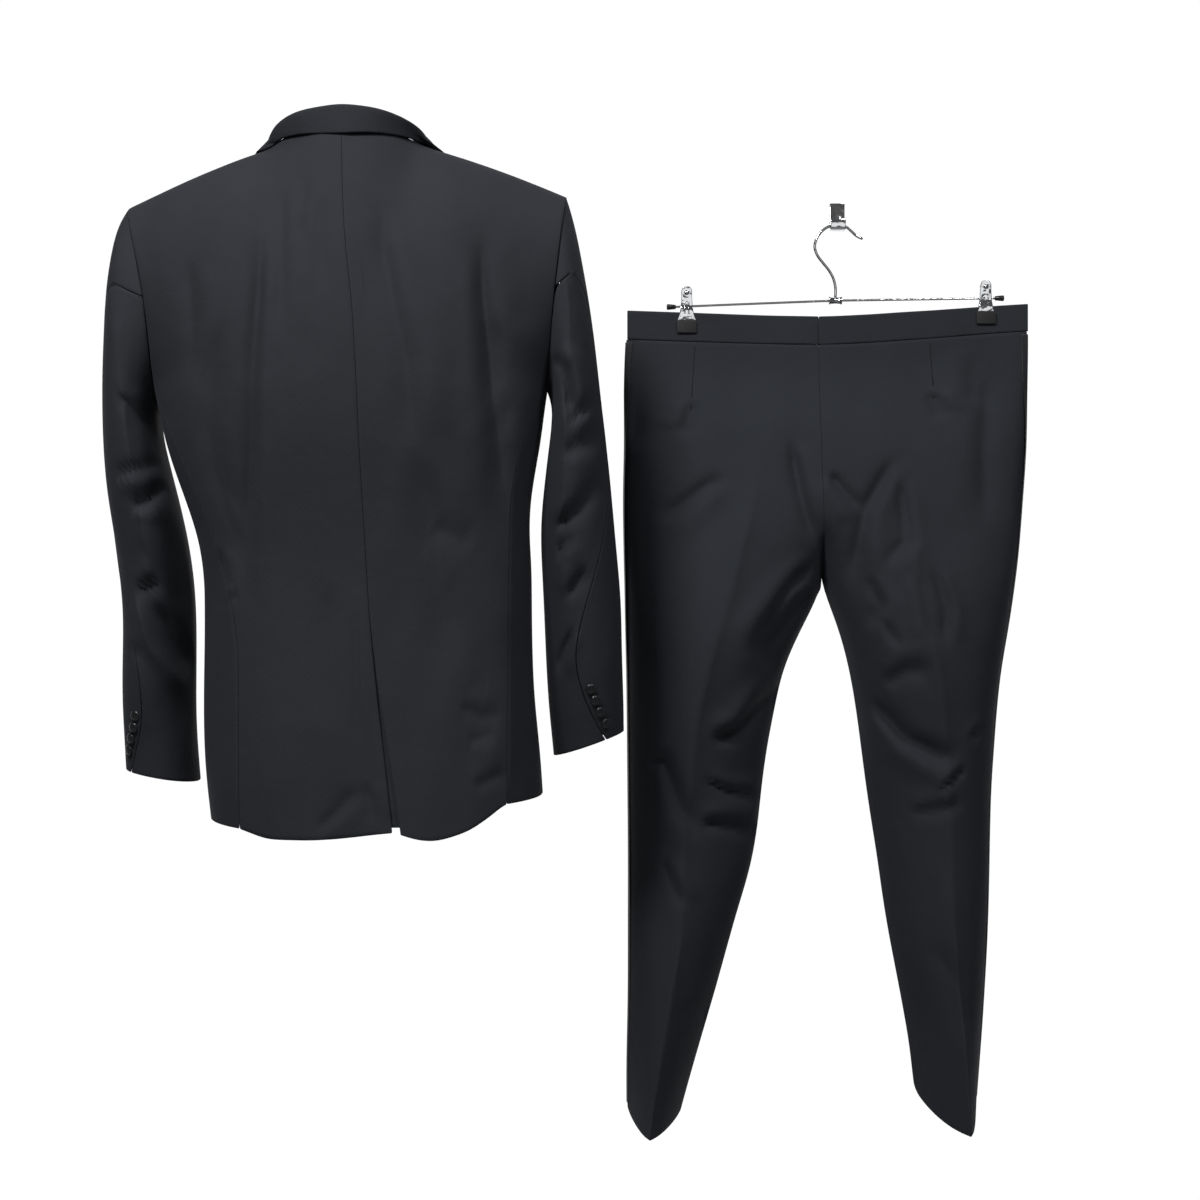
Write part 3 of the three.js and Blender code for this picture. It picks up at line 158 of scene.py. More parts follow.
TROUSER_FOLDS = [
    (9, 3.0, 1, [(-138, -304), (-180, -335), (-220, -364)]),
    (8, 3.4, 1, [(-61, -262), (-51, -326), (-40, -369), (-29, -396)]),
    (9, 3.4, -1, [(-30, -405), (-67, -443), (-93, -486), (-106, -520)]),
    (14, 4.4, -1, [(-30, -438), (-66, -481), (-89, -510), (-75, -546)]),
    (10, 6.0, 1, [(-160, -617), (-120, -607), (-66, -550)]),
    (5, 3.0, 1, [(-167, -658), (-142, -675), (-90, -688)]),
    (9, 3.4, 1, [(-173, -713), (-133, -718), (-86, -734)]),
    (9, 4.2, -1, [(-236, -647), (-209, -641), (-191, -691), (-170, -738)]),
    (6, 2.6, 1, [(-211, -756), (-187, -814)]),
    (8, 3.2, -1, [(-17, -303), (4, -330), (23, -352)]),
    (9, 3.8, 1, [(65, -280), (25, -349), (14, -408), (8, -445)]),
    (7, 3.4, 1, [(69, -305), (72, -385), (40, -420)]),
    (7, 2.8, -1, [(82, -418), (98, -495), (92, -512)]),
    (12, 2.6, -1, [(182, -160), (171, -277), (167, -380)]),
    (6, 3.2, 1, [(102, -412), (117, -463), (112, -512)]),
    (6, 2.4, 1, [(27, -424), (41, -458), (26, -490)]),
    (6, 2.2, -1, [(44, -478), (64, -511)]),
    (11, 3.0, 1, [(44, -552), (72, -535), (102, -534)]),
    (10, 6.0, -1, [(33, -568), (72, -615), (138, -649)]),
    (4, 2.8, 1, [(107, -675), (143, -645)]),
    (4, 2.2, 1, [(142, -616), (168, -598)]),
    (8, 2.2, 1, [(74, -704), (121, -695), (139, -681)]),
    (14, 1.6, 1, [(-200, -930), (-150, -950), (-120, -1000)]),
    (14, 1.4, 1, [(100, -850), (130, -900), (150, -970)]),
    (13, 3.2, 0, [(-92, -280), (-133, -435), (-155, -510), (-174, -592), (-184, -700), (-188, -800)]),
    (12, 3.0, 0, [(70, -360), (90, -460), (109, -561), (118, -660), (122, -760)]),
    (11, 1.7, 0, [(-186, -640), (-189, -756), (-192, -856), (-207, -950), (-226, -1060), (-262, -1300)]),
    (11, 1.7, 0, [(121, -620), (124, -693), (125, -825), (134, -950), (142, -1070), (160, -1300)]),
    (8, 3.0, -1, [(-176, -215), (-180, -240), (-190, -262)]),
    (9, 3.0, 1, [(112, -205), (116, -225), (122, -240)]),
    (18, 4.0, -1, [(-236, -160), (-242, -215), (-246, -280)]),
    (12, 3.0, -1, [(168, -150), (160, -190), (158, -230)]),
]
JACKET_FRONT_FOLDS = [
    (12, 3.0, 1, [(-660, -120), (-652, -240), (-640, -340)]),
    (14, 2.6, -1, [(-470, -110), (-480, -230), (-500, -330)]),
    (9, 2.8, 1, [(-600, -372), (-640, -392), (-690, -396)]),
    (8, 2.4, -1, [(-520, -372), (-470, -398), (-430, -404)]),
    (12, 2.2, 1, [(-660, -450), (-672, -540), (-668, -640)]),
    (10, 2.0, -1, [(-450, -455), (-440, -540), (-452, -630)]),
    (9, 3.0, 1, [(-790, -330), (-765, -318), (-740, -290)]),
    (9, 3.2, -1, [(-335, -350), (-310, -330), (-280, -300)]),
    (9, 2.6, 1, [(-790, -470), (-760, -455), (-735, -430)]),
    (8, 2.4, -1, [(-335, -450), (-310, -430), (-280, -412)]),
]
TROUSER_FRONT_FOLDS = [
    (12, 3.0, 1, [(-60, -200), (-110, -260), (-170, -300)]),
    (12, 2.8, -1, [(20, -200), (80, -255), (150, -300)]),
    (10, 3.4, 1, [(-40, -400), (-90, -430), (-150, -436)]),
    (10, 3.2, -1, [(0, -400), (60, -425), (130, -440)]),
    (12, 3.0, 1, [(-110, -620), (-170, -640), (-235, -650)]),
    (12, 2.8, -1, [(40, -600), (100, -625), (165, -640)]),
    (10, 2.2, -1, [(-110, -760), (-170, -775), (-230, -790)]),
    (10, 2.0, 1, [(60, -760), (110, -778), (165, -785)]),
]


# Where a fold is faded in and starts to fade out, as shares of its path, and how it widens along it
FADE_IN = 0.22
FADE_OUT = 0.7
WIDTH_AT_START = 0.75
WIDTH_GAINED = 0.6

# A trough is partly round and partly sharp, and the cloth beside it rises. Places and widths are in fold
# widths.
ROUND_SHARE = 0.55
SHARP_SHARE = 0.45
SHARP_WIDTH = 0.6
RISE_SHARE = 0.45
RISE_PLACE = 1.7
RISE_WIDTH = 1.5


def beside(x, z, path):
    """How far each x, z is from the path, negative on its right, and the share of the path passed there."""
    points = np.array(path, float)
    lengths = np.linalg.norm(np.diff(points, axis=0), axis=1)
    starts = np.concatenate([[0.0], np.cumsum(lengths)])
    nearest = np.full(x.shape, np.inf)
    along = np.zeros_like(x)
    off = np.zeros_like(x)
    for i, (a, b) in enumerate(zip(points, points[1:])):
        way = (b - a) / lengths[i]
        run = np.clip((x - a[0]) * way[0] + (z - a[1]) * way[1], 0, lengths[i])
        dx = x - a[0] - way[0] * run
        dz = z - a[1] - way[1] * run
        distance = np.hypot(dx, dz)
        closer = distance < nearest
        nearest = np.where(closer, distance, nearest)
        along = np.where(closer, starts[i] + run, along)
        sign = np.sign(dz * way[0] - dx * way[1])
        off = np.where(closer, sign * distance, off)
    return off, along / starts[-1]


def fold_depths(x, z, folds):
    """How deep the folds press the cloth at each x, z, in millimetres."""
    total = np.zeros_like(x)
    for width, depth, side, path in folds:
        off, share = beside(x, z, path)
        ends = ease(0, FADE_IN, share) * ease(1, FADE_OUT, share)
        if side:
            spread = width * (WIDTH_AT_START + WIDTH_GAINED * share)
            round_part = ROUND_SHARE * np.exp(-(off / spread) ** 2)
            sharp_part = SHARP_SHARE * np.exp(-np.abs(off) / (SHARP_WIDTH * spread))
            rise = np.exp(-((off - side * RISE_PLACE * spread) / (RISE_WIDTH * spread)) ** 2)
            total += depth * ends * (round_part + sharp_part - RISE_SHARE * rise)
        else:
            total -= depth * ends * np.exp(-np.abs(off) / width)
    return total


# The waves of slack cloth: their lengths in millimetres, how far they may turn, in radians, how much and
# over how many lengths they wander, how much they slant, and their height as a share of their length
SLACK_WAVES = {"low": 34, "high": 110, "size": 7}
SLACK_TURN = 0.75
SLACK_DRIFT = 0.6
SLACK_DRIFT_LENGTH = 1.9
SLACK_SLANT = 0.45
SLACK_HEIGHT = 0.0042


def slack(x, z, seed):
    """The cloth's slight unevenness: a few broad waves in different directions, in millimetres."""
    draw = np.random.default_rng(seed)
    total = np.zeros_like(x)
    for wave in draw.uniform(**SLACK_WAVES):
        turn = draw.uniform(-SLACK_TURN, SLACK_TURN)
        phase = draw.uniform(0, 2 * math.pi)
        drift = SLACK_DRIFT * np.sin(z / (wave * SLACK_DRIFT_LENGTH) + phase)
        run = (x * math.cos(turn) + z * math.sin(turn) * SLACK_SLANT) / wave
        total += wave * SLACK_HEIGHT * np.sin(2 * math.pi * run + phase + drift)
    return total


# Meshes
def welded(node):
    """The node's solid, with the corners of its faces joined."""
    mesh = bmesh.new()
    mesh.from_mesh(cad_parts[node].data)
    bmesh.ops.remove_doubles(mesh, verts=mesh.verts, dist=WELD)
    return mesh


def linked(name, mesh):
    """A new object in the scene that holds the mesh."""
    data = bpy.data.meshes.new(name)
    mesh.to_mesh(data)
    mesh.free()
    made = bpy.data.objects.new(name, data)
    bpy.context.scene.collection.objects.link(made)
    return made


def settled(made):
    """The same object with its modifiers applied, smooth but for its sharp edges."""
    graph = bpy.context.evaluated_depsgraph_get()
    made.data = bpy.data.meshes.new_from_object(made.evaluated_get(graph))
    made.modifiers.clear()
    made.data.shade_smooth()
    made.data.set_sharp_from_angle(angle=math.radians(SHARP_EDGE))
    return made


def bevelled(made, name, width, segments, angle):
    """Adds a modifier that rounds the edges past the angle, in degrees."""
    edges = made.modifiers.new(name, "BEVEL")
    edges.width = width
    edges.segments = segments
    edges.limit_method = "ANGLE"
    edges.angle_limit = math.radians(angle)


def divided(node, levels, rim=0.0):
    """The node's solid in quads, divided smoothly. Sharp edges are rounded to the rim's size."""
    mesh = welded(node)
    thresholds = {"angle_face_threshold": math.pi, "angle_shape_threshold": math.pi}
    bmesh.ops.join_triangles(mesh, faces=mesh.faces, **thresholds)
    crease = mesh.edges.layers.float.new("crease_edge")
    for edge in mesh.edges:
        turn = math.degrees(edge.calc_face_angle(0.0))
        edge[crease] = float(ease(SOFT_EDGE, SHARP_EDGE, turn))
    made = linked(node + "_fine", mesh)
    if rim:
        bevelled(made, "rims", rim, 1, SHARP_EDGE)
    finer = made.modifiers.new("finer", "SUBSURF")
    finer.levels = levels
    finer.render_levels = levels
    return settled(made)


def add_object(name, points, faces):
    """A new object in the scene from points and faces, smooth but for its sharp edges."""
    mesh = bpy.data.meshes.new(name)
    mesh.from_pydata([tuple(point) for point in points], [], faces)
    mesh.shade_smooth()
    mesh.set_sharp_from_angle(angle=math.radians(SHARP_EDGE))
    made = bpy.data.objects.new(name, mesh)
    bpy.context.scene.collection.objects.link(made)
    return made


def covered(made, material):
    """Gives the object one material in place of any other."""
    made.data.materials.clear()
    made.data.materials.append(material)


# Cloth. The first three give the y of a garment's middle at each height.
def torso_middle(z):
    return JACKET_MIDDLE + 0 * z


def sleeve_middle(z):
    return JACKET_MIDDLE + CUFF_FORWARD * ease(ARM_TOP, ARM_END, z)


def leg_middle(z):
    return 0 * z


def centre_seam(z):
    """The x of the seam in the middle of the back at a height."""
    return np.interp(z, SEAM_HEIGHTS, SEAM_PLACES)


def cloth(node, material, middle, reach, back=(), front=(), seed=1, levels=3, rim=CLOTH_RIM, strength=2.0):
    """One panel, with the folds of the back behind the garment's middle and those of the front before it."""
    made = divided(node, levels, rim)
    points = np.empty(3 * len(made.data.vertices), np.float32)
    made.data.vertices.foreach_get("co", points)
    points = points.reshape(-1, 3).astype(float)
    x = points[:, 0] / MM
    z = points[:, 2] / MM
    off = middle(points[:, 2]) - points[:, 1]
    behind = ease(0, reach, off)
    before = ease(0, reach, -off)
    pressed = behind * fold_depths(x, z, back) - before * fold_depths(x, z, front)
    points[:, 1] += MM * (strength * pressed + (behind - before) * slack(x, z, seed))
    made.data.vertices.foreach_set("co", points.astype(np.float32).ravel())
    made.data.update()
    covered(made, material)
    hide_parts(node)
    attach(made, "root")
    # Laid flat, a panel is 2 % longer for its curve and 10 % wider for its shaping
    return made


def back_allowance(panel):
    """The turned-in cloth behind the centre seam: the panel's inner face near the seam, moved across it."""
    half = ALLOWANCE_HALF_WIDTH
    inwards = 0.3
    mesh = bmesh.new()
    mesh.from_mesh(panel.data)

    def wanted(face):
        place = face.calc_center_median()
        near = abs(place.x - centre_seam(place.z) + half) <= half
        return face.normal.y >= inwards and near and ALLOWANCE_LOW < place.z < ALLOWANCE_HIGH

    bmesh.ops.delete(mesh, geom=[face for face in mesh.faces if not wanted(face)], context="FACES")
    bmesh.ops.translate(mesh, verts=mesh.verts, vec=(half, ALLOWANCE_INWARD, 0.0))
    made = linked("back_allowance", mesh)
    thicker = made.modifiers.new("thicker", "SOLIDIFY")
    thicker.thickness = ALLOWANCE_WALL
    thicker.offset = 1
    made = settled(made)
    covered(made, jacket_wool)
    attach(made, "root")


# Materials
class Nodes:
    """A material's node tree, with short ways to add and join nodes."""

    def __init__(self, name):
        self.material = bpy.data.materials.new(name)
        self.material.use_nodes = True
        self.tree = self.material.node_tree
        self.shader = self.tree.nodes["Principled BSDF"]

    def add(self, kind, inputs=None, **settings):
        node = self.tree.nodes.new("ShaderNode" + kind)
        for key, value in settings.items():
            setattr(node, key, value)
        for key, value in (inputs or {}).items():
            if isinstance(value, bpy.types.NodeSocket):
                self.tree.links.new(value, node.inputs[key])
            else:
                node.inputs[key].default_value = value
        return node

    def set(self, **values):
        for key, value in values.items():
            socket = self.shader.inputs[key.replace("_", " ")]
            if isinstance(value, bpy.types.NodeSocket):
                self.tree.links.new(value, socket)
            else:
                socket.default_value = value


def wool_material(name, dark, light):
    """Fine worsted: a diagonal twill too fine to see from a step away, a slight mottle and a soft nap."""
    nodes = Nodes(name)
    place = nodes.add("TexCoord").outputs["Object"]
    broad = nodes.add("TexNoise", {
        "Vector": place, "Scale": 9.0, "Detail": 4.0, "Roughness": 0.6,
    }).outputs["Fac"]
    fibre = nodes.add("Mapping", {"Vector": place, "Scale": (1300.0, 1300.0, 420.0)}).outputs["Vector"]
    grain = nodes.add("TexNoise", {"Vector": fibre, "Scale": 1.0, "Detail": 2.0}).outputs["Fac"]
    twill = nodes.add("TexWave", {
        "Vector": place, "Scale": 96.0, "Distortion": 0.6, "Detail Scale": 3.0,
    }, bands_direction="DIAGONAL").outputs["Fac"]
    tone = nodes.add("Math", {0: broad, 1: 0.6}, operation="MULTIPLY").outputs[0]
    tone = nodes.add("Math", {0: grain, 1: 0.4, 2: tone}, operation="MULTIPLY_ADD").outputs[0]
    colour = nodes.add("MixRGB", {"Fac": tone, "Color1": (*dark, 1), "Color2": (*light, 1)}).outputs["Color"]
    relief = nodes.add("Math", {0: twill, 1: 0.5, 2: grain}, operation="MULTIPLY_ADD").outputs[0]
    fine = nodes.add("Bump", {"Height": relief, "Strength": 0.22, "Distance": 0.0003}).outputs["Normal"]
    soft = nodes.add("TexNoise", {
        "Vector": place, "Scale": 26.0, "Detail": 3.0, "Roughness": 0.55,
    }).outputs["Fac"]
    bump = nodes.add("Bump", {
        "Height": soft, "Strength": 0.35, "Distance": 0.0035, "Normal": fine,
    }).outputs["Normal"]
    nodes.set(Base_Color=colour, Roughness=0.82, Normal=bump, Sheen_Weight=0.03, Sheen_Roughness=0.5)
    nodes.shader.inputs["Sheen Tint"].default_value = (0.75, 0.8, 0.95, 1)
    nodes.shader.inputs["Specular IOR Level"].default_value = 0.12
    return nodes.material


def satin_material(name, colour, gloss):
    """Silk satin: smooth and dark, with long fine threads that break its shine a little."""
    nodes = Nodes(name)
    place = nodes.add("TexCoord").outputs["Object"]
    threads = nodes.add("Mapping", {"Vector": place, "Scale": (2600.0, 2600.0, 240.0)}).outputs["Vector"]
    grain = nodes.add("TexNoise", {"Vector": threads, "Scale": 1.0, "Detail": 1.0}).outputs["Fac"]
    rough = nodes.add("MapRange", {"Value": grain, "To Min": gloss, "To Max": gloss + 0.14}).outputs["Result"]
    bump = nodes.add("Bump", {"Height": grain, "Strength": 0.12, "Distance": 0.0002}).outputs["Normal"]
    nodes.set(Base_Color=(*colour, 1), Roughness=rough, Normal=bump, Sheen_Weight=0.1)
    return nodes.material


def chrome_material():
    """Thin bright plating: a faint waviness breaks its reflections into streaks."""
    nodes = Nodes("bright_chrome")
    place = nodes.add("TexCoord").outputs["Object"]
    wear = nodes.add("TexNoise", {"Vector": place, "Scale": 260.0, "Detail": 4.0}).outputs["Fac"]
    rough = nodes.add("MapRange", {"Value": wear, "To Min": 0.05, "To Max": 0.16}).outputs["Result"]
    tone = nodes.add("MixRGB", {
        "Fac": wear, "Color1": (0.56, 0.57, 0.59, 1), "Color2": (0.76, 0.77, 0.78, 1),
    })
    wave = nodes.add("TexNoise", {"Vector": place, "Scale": 130.0, "Detail": 1.0}).outputs["Fac"]
    bump = nodes.add("Bump", {"Height": wave, "Strength": 0.5, "Distance": 0.0012}).outputs["Normal"]
    nodes.set(Base_Color=tone.outputs["Color"], Metallic=1.0, Roughness=rough, Normal=bump)
    return nodes.material


def dark_material(name, colour, low, high, scale):
    """Rubber or moulded plastic, with a fine grain; also the painted shade of a seam."""
    nodes = Nodes(name)
    place = nodes.add("TexCoord").outputs["Object"]
    grain = nodes.add("TexNoise", {"Vector": place, "Scale": scale, "Detail": 3.0}).outputs["Fac"]
    rough = nodes.add("MapRange", {"Value": grain, "To Min": low, "To Max": high}).outputs["Result"]
    bump = nodes.add("Bump", {"Height": grain, "Strength": 0.15, "Distance": 0.0003}).outputs["Normal"]
    nodes.set(Base_Color=(*colour, 1), Roughness=rough, Normal=bump)
    return nodes.material


jacket_wool = wool_material("jacket_wool", (0.0235, 0.0250, 0.0300), (0.038, 0.0405, 0.048))
trouser_wool = wool_material("trouser_wool", (0.0225, 0.0250, 0.0305), (0.036, 0.0395, 0.0475))
facing_satin = satin_material("facing_satin", (0.009, 0.010, 0.012), 0.3)
stripe_satin = satin_material("stripe_satin", (0.013, 0.014, 0.018), 0.38)
button_satin = satin_material("button_satin", (0.008, 0.009, 0.011), 0.2)
chrome = chrome_material()
rubber = dark_material("black_rubber", (0.011, 0.011, 0.012), 0.55, 0.75, 900.0)
# seam_shadow is painted shade: a near-black colour for the shadowed line of a dart's seam
painted_seam_shade = dark_material("seam_shadow", (0.004, 0.004, 0.005), 0.8, 0.95, 900.0)
plastic = dark_material("black_plastic", (0.012, 0.012, 0.013), 0.25, 0.4, 400.0)


# Jacket
TORSO = {
    "middle": torso_middle, "reach": JACKET_REACH, "back": JACKET_FOLDS, "front": JACKET_FRONT_FOLDS,
    "seed": 2,
}
SLEEVE = {"middle": sleeve_middle, "reach": SLEEVE_REACH, "seed": 4, "strength": 3.0}
for hand in HANDS:
    back = cloth(f"back_{hand}", jacket_wool, **TORSO)
    if hand == "left":
        back_allowance(back)
    cloth(f"side_{hand}", jacket_wool, **TORSO)
    cloth(f"front_{hand}", jacket_wool, levels=2, **TORSO)
    cloth(f"lapel_{hand}", facing_satin, levels=2, rim=THIN_RIM, **TORSO)
    cloth(f"pocket_{hand}", facing_satin, levels=2, rim=THIN_RIM, **TORSO)
    for part in ("top", "under"):
        cloth(f"sleeve_{hand}_{part}", jacket_wool, back=SLEEVE_FOLDS[hand], **SLEEVE)
cloth("breast_welt", jacket_wool, levels=2, rim=THIN_RIM, **TORSO)
cloth("collar", jacket_wool, torso_middle, JACKET_REACH, seed=5)


# Trousers
LEGS = {
    "middle": leg_middle, "reach": TROUSER_REACH, "back": TROUSER_FOLDS, "front": TROUSER_FRONT_FOLDS,
    "seed": 6, "strength": 2.8,
}
seats = {}
for hand in HANDS:
    seats[hand] = cloth(f"leg_back_{hand}", trouser_wool, **LEGS)
    cloth(f"leg_front_{hand}", trouser_wool, levels=2, **LEGS)
    cloth(f"waistband_{hand}", trouser_wool, leg_middle, TROUSER_REACH, seed=8)
    cloth(f"stripe_{hand}", stripe_satin, levels=2, rim=FINE_RIM, **LEGS)
cloth("fly", trouser_wool, levels=2, rim=THIN_RIM, **LEGS)


# Hanger
def finish_hard(made, material, node):
    """Puts a hard piece in its node's place."""
    covered(made, material)
    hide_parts(node)
    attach(made, "root")
    return made


def refined(node, material, bevel):
    """A hard piece on its solid's own form, with rounded edges."""
    mesh = welded(node)
    bmesh.ops.dissolve_limit(mesh, angle_limit=math.radians(FLAT), verts=mesh.verts, edges=mesh.edges)
    made = linked(node + "_fine", mesh)
    bevelled(made, "rounded", bevel, 3, BEVELLED_EDGE)
    return finish_hard(settled(made), material, node)


# The rounded end of a wire, in radii: how wide it is there, and how far past the wire's last point
ROUND_END = [(0.92, 0.4), (0.7, 0.72), (0.38, 0.93), (0.05, 1.0)]


def tube(name, points, radius, sides=20, steps=12):
    """A round wire through the points, in millimetres, with rounded ends."""
    shares = np.linspace(0, 1, steps * (len(points) - 1) + 1)
    line = smooth_through(np.array(points, float), shares) * MM
    ways = np.gradient(line, axis=0)
    ways /= np.linalg.norm(ways, axis=1, keepdims=True)
    stations = [(line[0] - ways[0] * radius * MM * far, ways[0], wide) for wide, far in ROUND_END[::-1]]
    stations += [(point, way, 1.0) for point, way in zip(line, ways)]
    stations += [(line[-1] + ways[-1] * radius * MM * far, ways[-1], wide) for wide, far in ROUND_END]
    angles = np.linspace(0, 2 * math.pi, sides, endpoint=False)
    verts = []
    for point, way, share in stations:
        side = np.array([0.0, 1.0, 0.0])
        up = np.cross(way, side)
        ring = np.outer(np.cos(angles), side) + np.outer(np.sin(angles), up)
        verts.extend(point + ring * radius * MM * share)
    count = len(stations)
    faces = []
    for j in range(count - 1):
        for i in range(sides):
            k = (i + 1) % sides
            faces.append((j * sides + i, j * sides + k, (j + 1) * sides + k, (j + 1) * sides + i))
    faces.append(tuple(range(sides - 1, -1, -1)))
    faces.append(tuple((count - 1) * sides + i for i in range(sides)))
    made = add_object(name, verts, faces)
    fix_normals(made)
    return made


def extra(made, material):
    """A small raised piece that no solid stands for."""
    covered(made, material)
    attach(made, "root")


def laid_on(panel, path, sunk):
    """The points x, z of a path, in millimetres, laid on the panel's back and sunk into it a little."""
    behind = -1.0
    points = []
    for x, z in path:
        hit, place, _, _ = panel.ray_cast(Vector((x * MM, behind, z * MM)), Vector((0.0, 1.0, 0.0)))
        if not hit:
            raise ValueError(f"{panel.name} is missed at {x}, {z}")
        points.append((x, place.y / MM + sunk, z))
    return points


def fix_normals(made):
    """Turns all faces outwards."""
    mesh = bmesh.new()
    mesh.from_mesh(made.data)
    bmesh.ops.recalc_face_normals(mesh, faces=mesh.faces)
    mesh.to_mesh(made.data)
    mesh.free()


def turned(node, profile, material, closed=False):
    """A profile of along, radius in millimetres turned round the X axis, at the middle of its node's box."""
    low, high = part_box(node)
    middle = (low + high) / 2
    sides = 48
    angles = np.linspace(0, 2 * math.pi, sides, endpoint=False)
    verts = []
    for along, radius in profile:
        for angle in angles:
            verts.append((
                middle.x + along * MM,
                middle.y + radius * MM * math.cos(angle),
                middle.z + radius * MM * math.sin(angle),
            ))
    count = len(profile)
    faces = []
    for j in range(count if closed else count - 1):
        following = (j + 1) % count
        for i in range(sides):
            k = (i + 1) % sides
            faces.append((j * sides + i, j * sides + k, following * sides + k, following * sides + i))
    if not closed:
        faces.append(tuple(range(sides - 1, -1, -1)))
        faces.append(tuple((count - 1) * sides + i for i in range(sides)))
    made = add_object(node + "_turned", verts, faces)
    fix_normals(made)
    return finish_hard(made, material, node)


# The wires' points x, y, z and the profiles, in millimetres
ROD = [(-194, 0, -101.6), (-80, 0, -97), (-3, 0, -94.2), (80, 0, -92.8), (188, 0, -91.2)]
ROD_RADIUS = 1.4
HOOK = [
    (-2.9, 0, -90), (-3.2, 0, -76), (-5.6, 0, -67), (-10.5, 0, -58), (-18, 0, -48.5), (-24.6, 0, -39.5),
    (-27.7, 0, -29.5), (-25.6, 0, -20), (-19.2, 0, -10.8), (-10, 0, -4.8), (0, 0, -3), (9, 0, -5),
    (16, 0, -10.5), (22, 0, -16), (28.6, 0, -19.4),
]
HOOK_RADIUS = 1.7
FERRULE = [
    (-7.8, 1.7), (-7.8, 4.3), (-7.5, 4.8), (-6.7, 4.8), (-6.3, 4.5), (-5.6, 3.9), (-2.4, 3.9), (-2.0, 3.6),
    (2.0, 3.6), (2.4, 3.9), (5.6, 3.9), (6.3, 4.5), (6.7, 4.8), (7.5, 4.8), (7.8, 4.3), (7.8, 1.7),
]
CAP = [(-5.6, 0.6), (-5.5, 2.0), (-5.1, 2.6), (3.6, 3.5), (4.6, 3.5), (5.3, 3.0), (5.6, 1.4)]

# The clip's ribs and rivet, in millimetres: places from the plate's middle, top and bottom edge
RIB_ASIDE = 2.4
RIB_BELOW_TOP = 20
RIB_ABOVE_BOTTOM = 9
RIB_RADIUS = 0.9
RIB_SUNK = 0.2
RIVET_BELOW_TOP = 8
RIVET_HALF_LENGTH = 0.1
RIVET_RADIUS = 3.4
RIVET_SUNK = 1.6


def clip_trim(hand, made, plate):
    """Two raised ribs and a rivet on the clip's back plate."""
    low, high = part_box(plate)
    x = (low.x + high.x) / 2 / MM
    top = high.z / MM
    bottom = low.z / MM
    for aside in (-RIB_ASIDE, RIB_ASIDE):
        heights = np.linspace(top - RIB_BELOW_TOP, bottom + RIB_ABOVE_BOTTOM, 6)
        path = [(x + aside, height) for height in heights]
        rib = tube(f"clip_{hand}_rib", laid_on(made, path, RIB_SUNK), RIB_RADIUS, sides=12, steps=4)
        extra(rib, chrome)
    path = [(x + aside, top - RIVET_BELOW_TOP) for aside in (-RIVET_HALF_LENGTH, 0, RIVET_HALF_LENGTH)]
    rivet = tube(f"clip_{hand}_rivet", laid_on(made, path, RIVET_SUNK), RIVET_RADIUS, sides=32, steps=1)
    extra(rivet, chrome)


# Hard pieces: the hanger and its wall hook, the clips and the buttons
finish_hard(tube("rod_wire", ROD, ROD_RADIUS), chrome, "rod")
finish_hard(tube("hook_wire", HOOK, HOOK_RADIUS), chrome, "hanger_hook")
turned("ferrule", FERRULE, chrome, closed=True)
turned("rod_cap_right", CAP, plastic)
turned("rod_cap_left", [(-along, radius) for along, radius in CAP[::-1]], plastic)
refined("wall_hook", chrome, bevel=0.0007)
for hand in HANDS:
    for face in ("back", "front"):
        refined(f"clip_{hand}_{face}_jaw", rubber, bevel=0.0005)
        plate = f"clip_{hand}_{face}_plate"
        made = finish_hard(divided(plate, 3, FINE_RIM), chrome, plate)
        if face == "back":
            clip_trim(hand, made, plate)
    refined(f"clip_{hand}_pivot", chrome, bevel=0.0004)
    for number in range(1, 5):
        button = f"cuff_button_{hand}_{number}"
        finish_hard(divided(button, 2), button_satin, button)
finish_hard(divided("front_button", 2), button_satin, "front_button")


# Darts: a line of painted shade along each dart of the seat, below the waistband, drawn as a near-black tube.
# Points x, z in millimetres.
DARTS = {
    "left": [(-171.7, -150), (-173.2, -170), (-174.8, -192), (-176.2, -212), (-177, -227)],
    "right": [(109.7, -146), (110.6, -165), (111.4, -182), (112.2, -198), (112.6, -213)],
}
DART_RADIUS = 0.65
DART_SUNK = 0.3
for hand in HANDS:
    line = laid_on(seats[hand], DARTS[hand], DART_SUNK)
    extra(tube(f"dart_{hand}", line, DART_RADIUS, sides=8, steps=6), painted_seam_shade)


# Stage, light and camera
CAMERA_PLACE = (-0.2856, -2.182, -0.4536)
LENS = 54.5
FLOOR = -1.95
FLOOR_EDGES = {"left": -4.5, "right": 4.0, "near": -3.2, "far": 1.4}

# The backdrop is the part of the world towards +Y: the share of +Y in a direction where it starts and where
# it is full, and how bright the rest and the backdrop are
BACKDROP = {"From Min": 0.62, "From Max": 0.82, "To Min": 0.09, "To Max": 1.02}


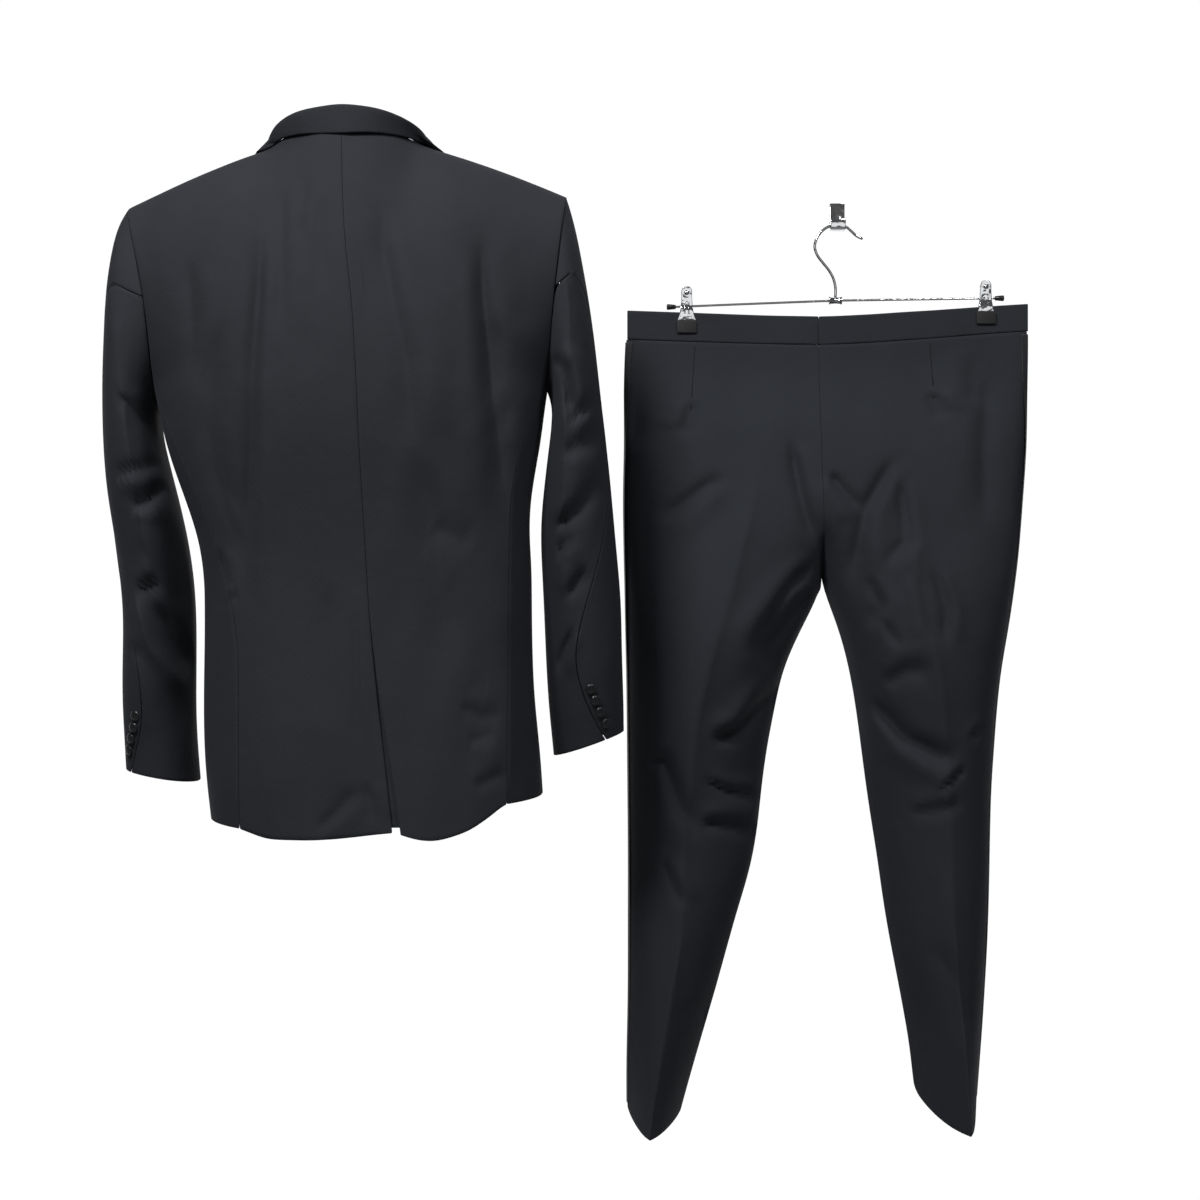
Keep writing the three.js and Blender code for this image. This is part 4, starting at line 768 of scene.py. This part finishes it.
def pale_floor():
    """A floor well below the garments, which hang free of it."""
    corners = [
        (FLOOR_EDGES["left"], FLOOR_EDGES["near"], FLOOR),
        (FLOOR_EDGES["right"], FLOOR_EDGES["near"], FLOOR),
        (FLOOR_EDGES["right"], FLOOR_EDGES["far"], FLOOR),
        (FLOOR_EDGES["left"], FLOOR_EDGES["far"], FLOOR),
    ]
    made = add_object("pale_floor", corners, [(0, 1, 2, 3)])
    nodes = Nodes("pale_floor")
    place = nodes.add("TexCoord").outputs["Object"]
    grain = nodes.add("TexNoise", {"Vector": place, "Scale": 12.0, "Detail": 3.0}).outputs["Fac"]
    tone = nodes.add("MixRGB", {
        "Fac": grain, "Color1": (0.48, 0.48, 0.48, 1), "Color2": (0.54, 0.54, 0.54, 1),
    })
    nodes.set(Base_Color=tone.outputs["Color"], Roughness=0.9)
    made.data.materials.append(nodes.material)


def area_light(name, place, target, size, power):
    """A soft rectangular lamp that faces its target."""
    data = bpy.data.lights.new(name, "AREA")
    data.shape = "RECTANGLE"
    data.size, data.size_y = size
    data.energy = power
    lamp = bpy.data.objects.new(name, data)
    lamp.location = place
    lamp.rotation_mode = "QUATERNION"
    lamp.rotation_quaternion = (Vector(target) - Vector(place)).to_track_quat("-Z", "Y")
    bpy.context.scene.collection.objects.link(lamp)


def studio_world():
    """A dim grey world that is white behind the set as photographed."""
    world = bpy.data.worlds.new("studio")
    world.use_nodes = True
    sky = world.node_tree
    way = sky.nodes.new("ShaderNodeTexCoord").outputs["Generated"]
    split = sky.nodes.new("ShaderNodeSeparateXYZ")
    sky.links.new(way, split.inputs["Vector"])
    glow = sky.nodes.new("ShaderNodeMapRange")
    glow.interpolation_type = "SMOOTHSTEP"
    for socket, value in BACKDROP.items():
        glow.inputs[socket].default_value = value
    sky.links.new(split.outputs["Y"], glow.inputs["Value"])
    sky.links.new(glow.outputs["Result"], sky.nodes["Background"].inputs["Strength"])
    sky.nodes["Background"].inputs["Color"].default_value = (1, 1, 1, 1)
    bpy.context.scene.world = world


pale_floor()
area_light("key", (-1.1, -1.6, 1.35), (-0.3, 0, -0.35), (0.5, 0.5), 37)
area_light("second", (0.7, -1.4, 1.6), (-0.2, 0, -0.3), (0.5, 0.5), 16)
area_light("card", (-0.3, -3.4, 0.6), (-0.3, 0, -0.3), (3.0, 0.6), 6)
studio_world()
bpy.context.scene.view_settings.view_transform = "Standard"

camera_data = bpy.data.cameras.new("camera")
camera_data.lens = LENS
camera_data.clip_end = 50
camera = bpy.data.objects.new("camera", camera_data)
camera.location = CAMERA_PLACE
camera.rotation_euler = (math.pi / 2, 0, 0)
bpy.context.scene.collection.objects.link(camera)
bpy.context.scene.camera = camera
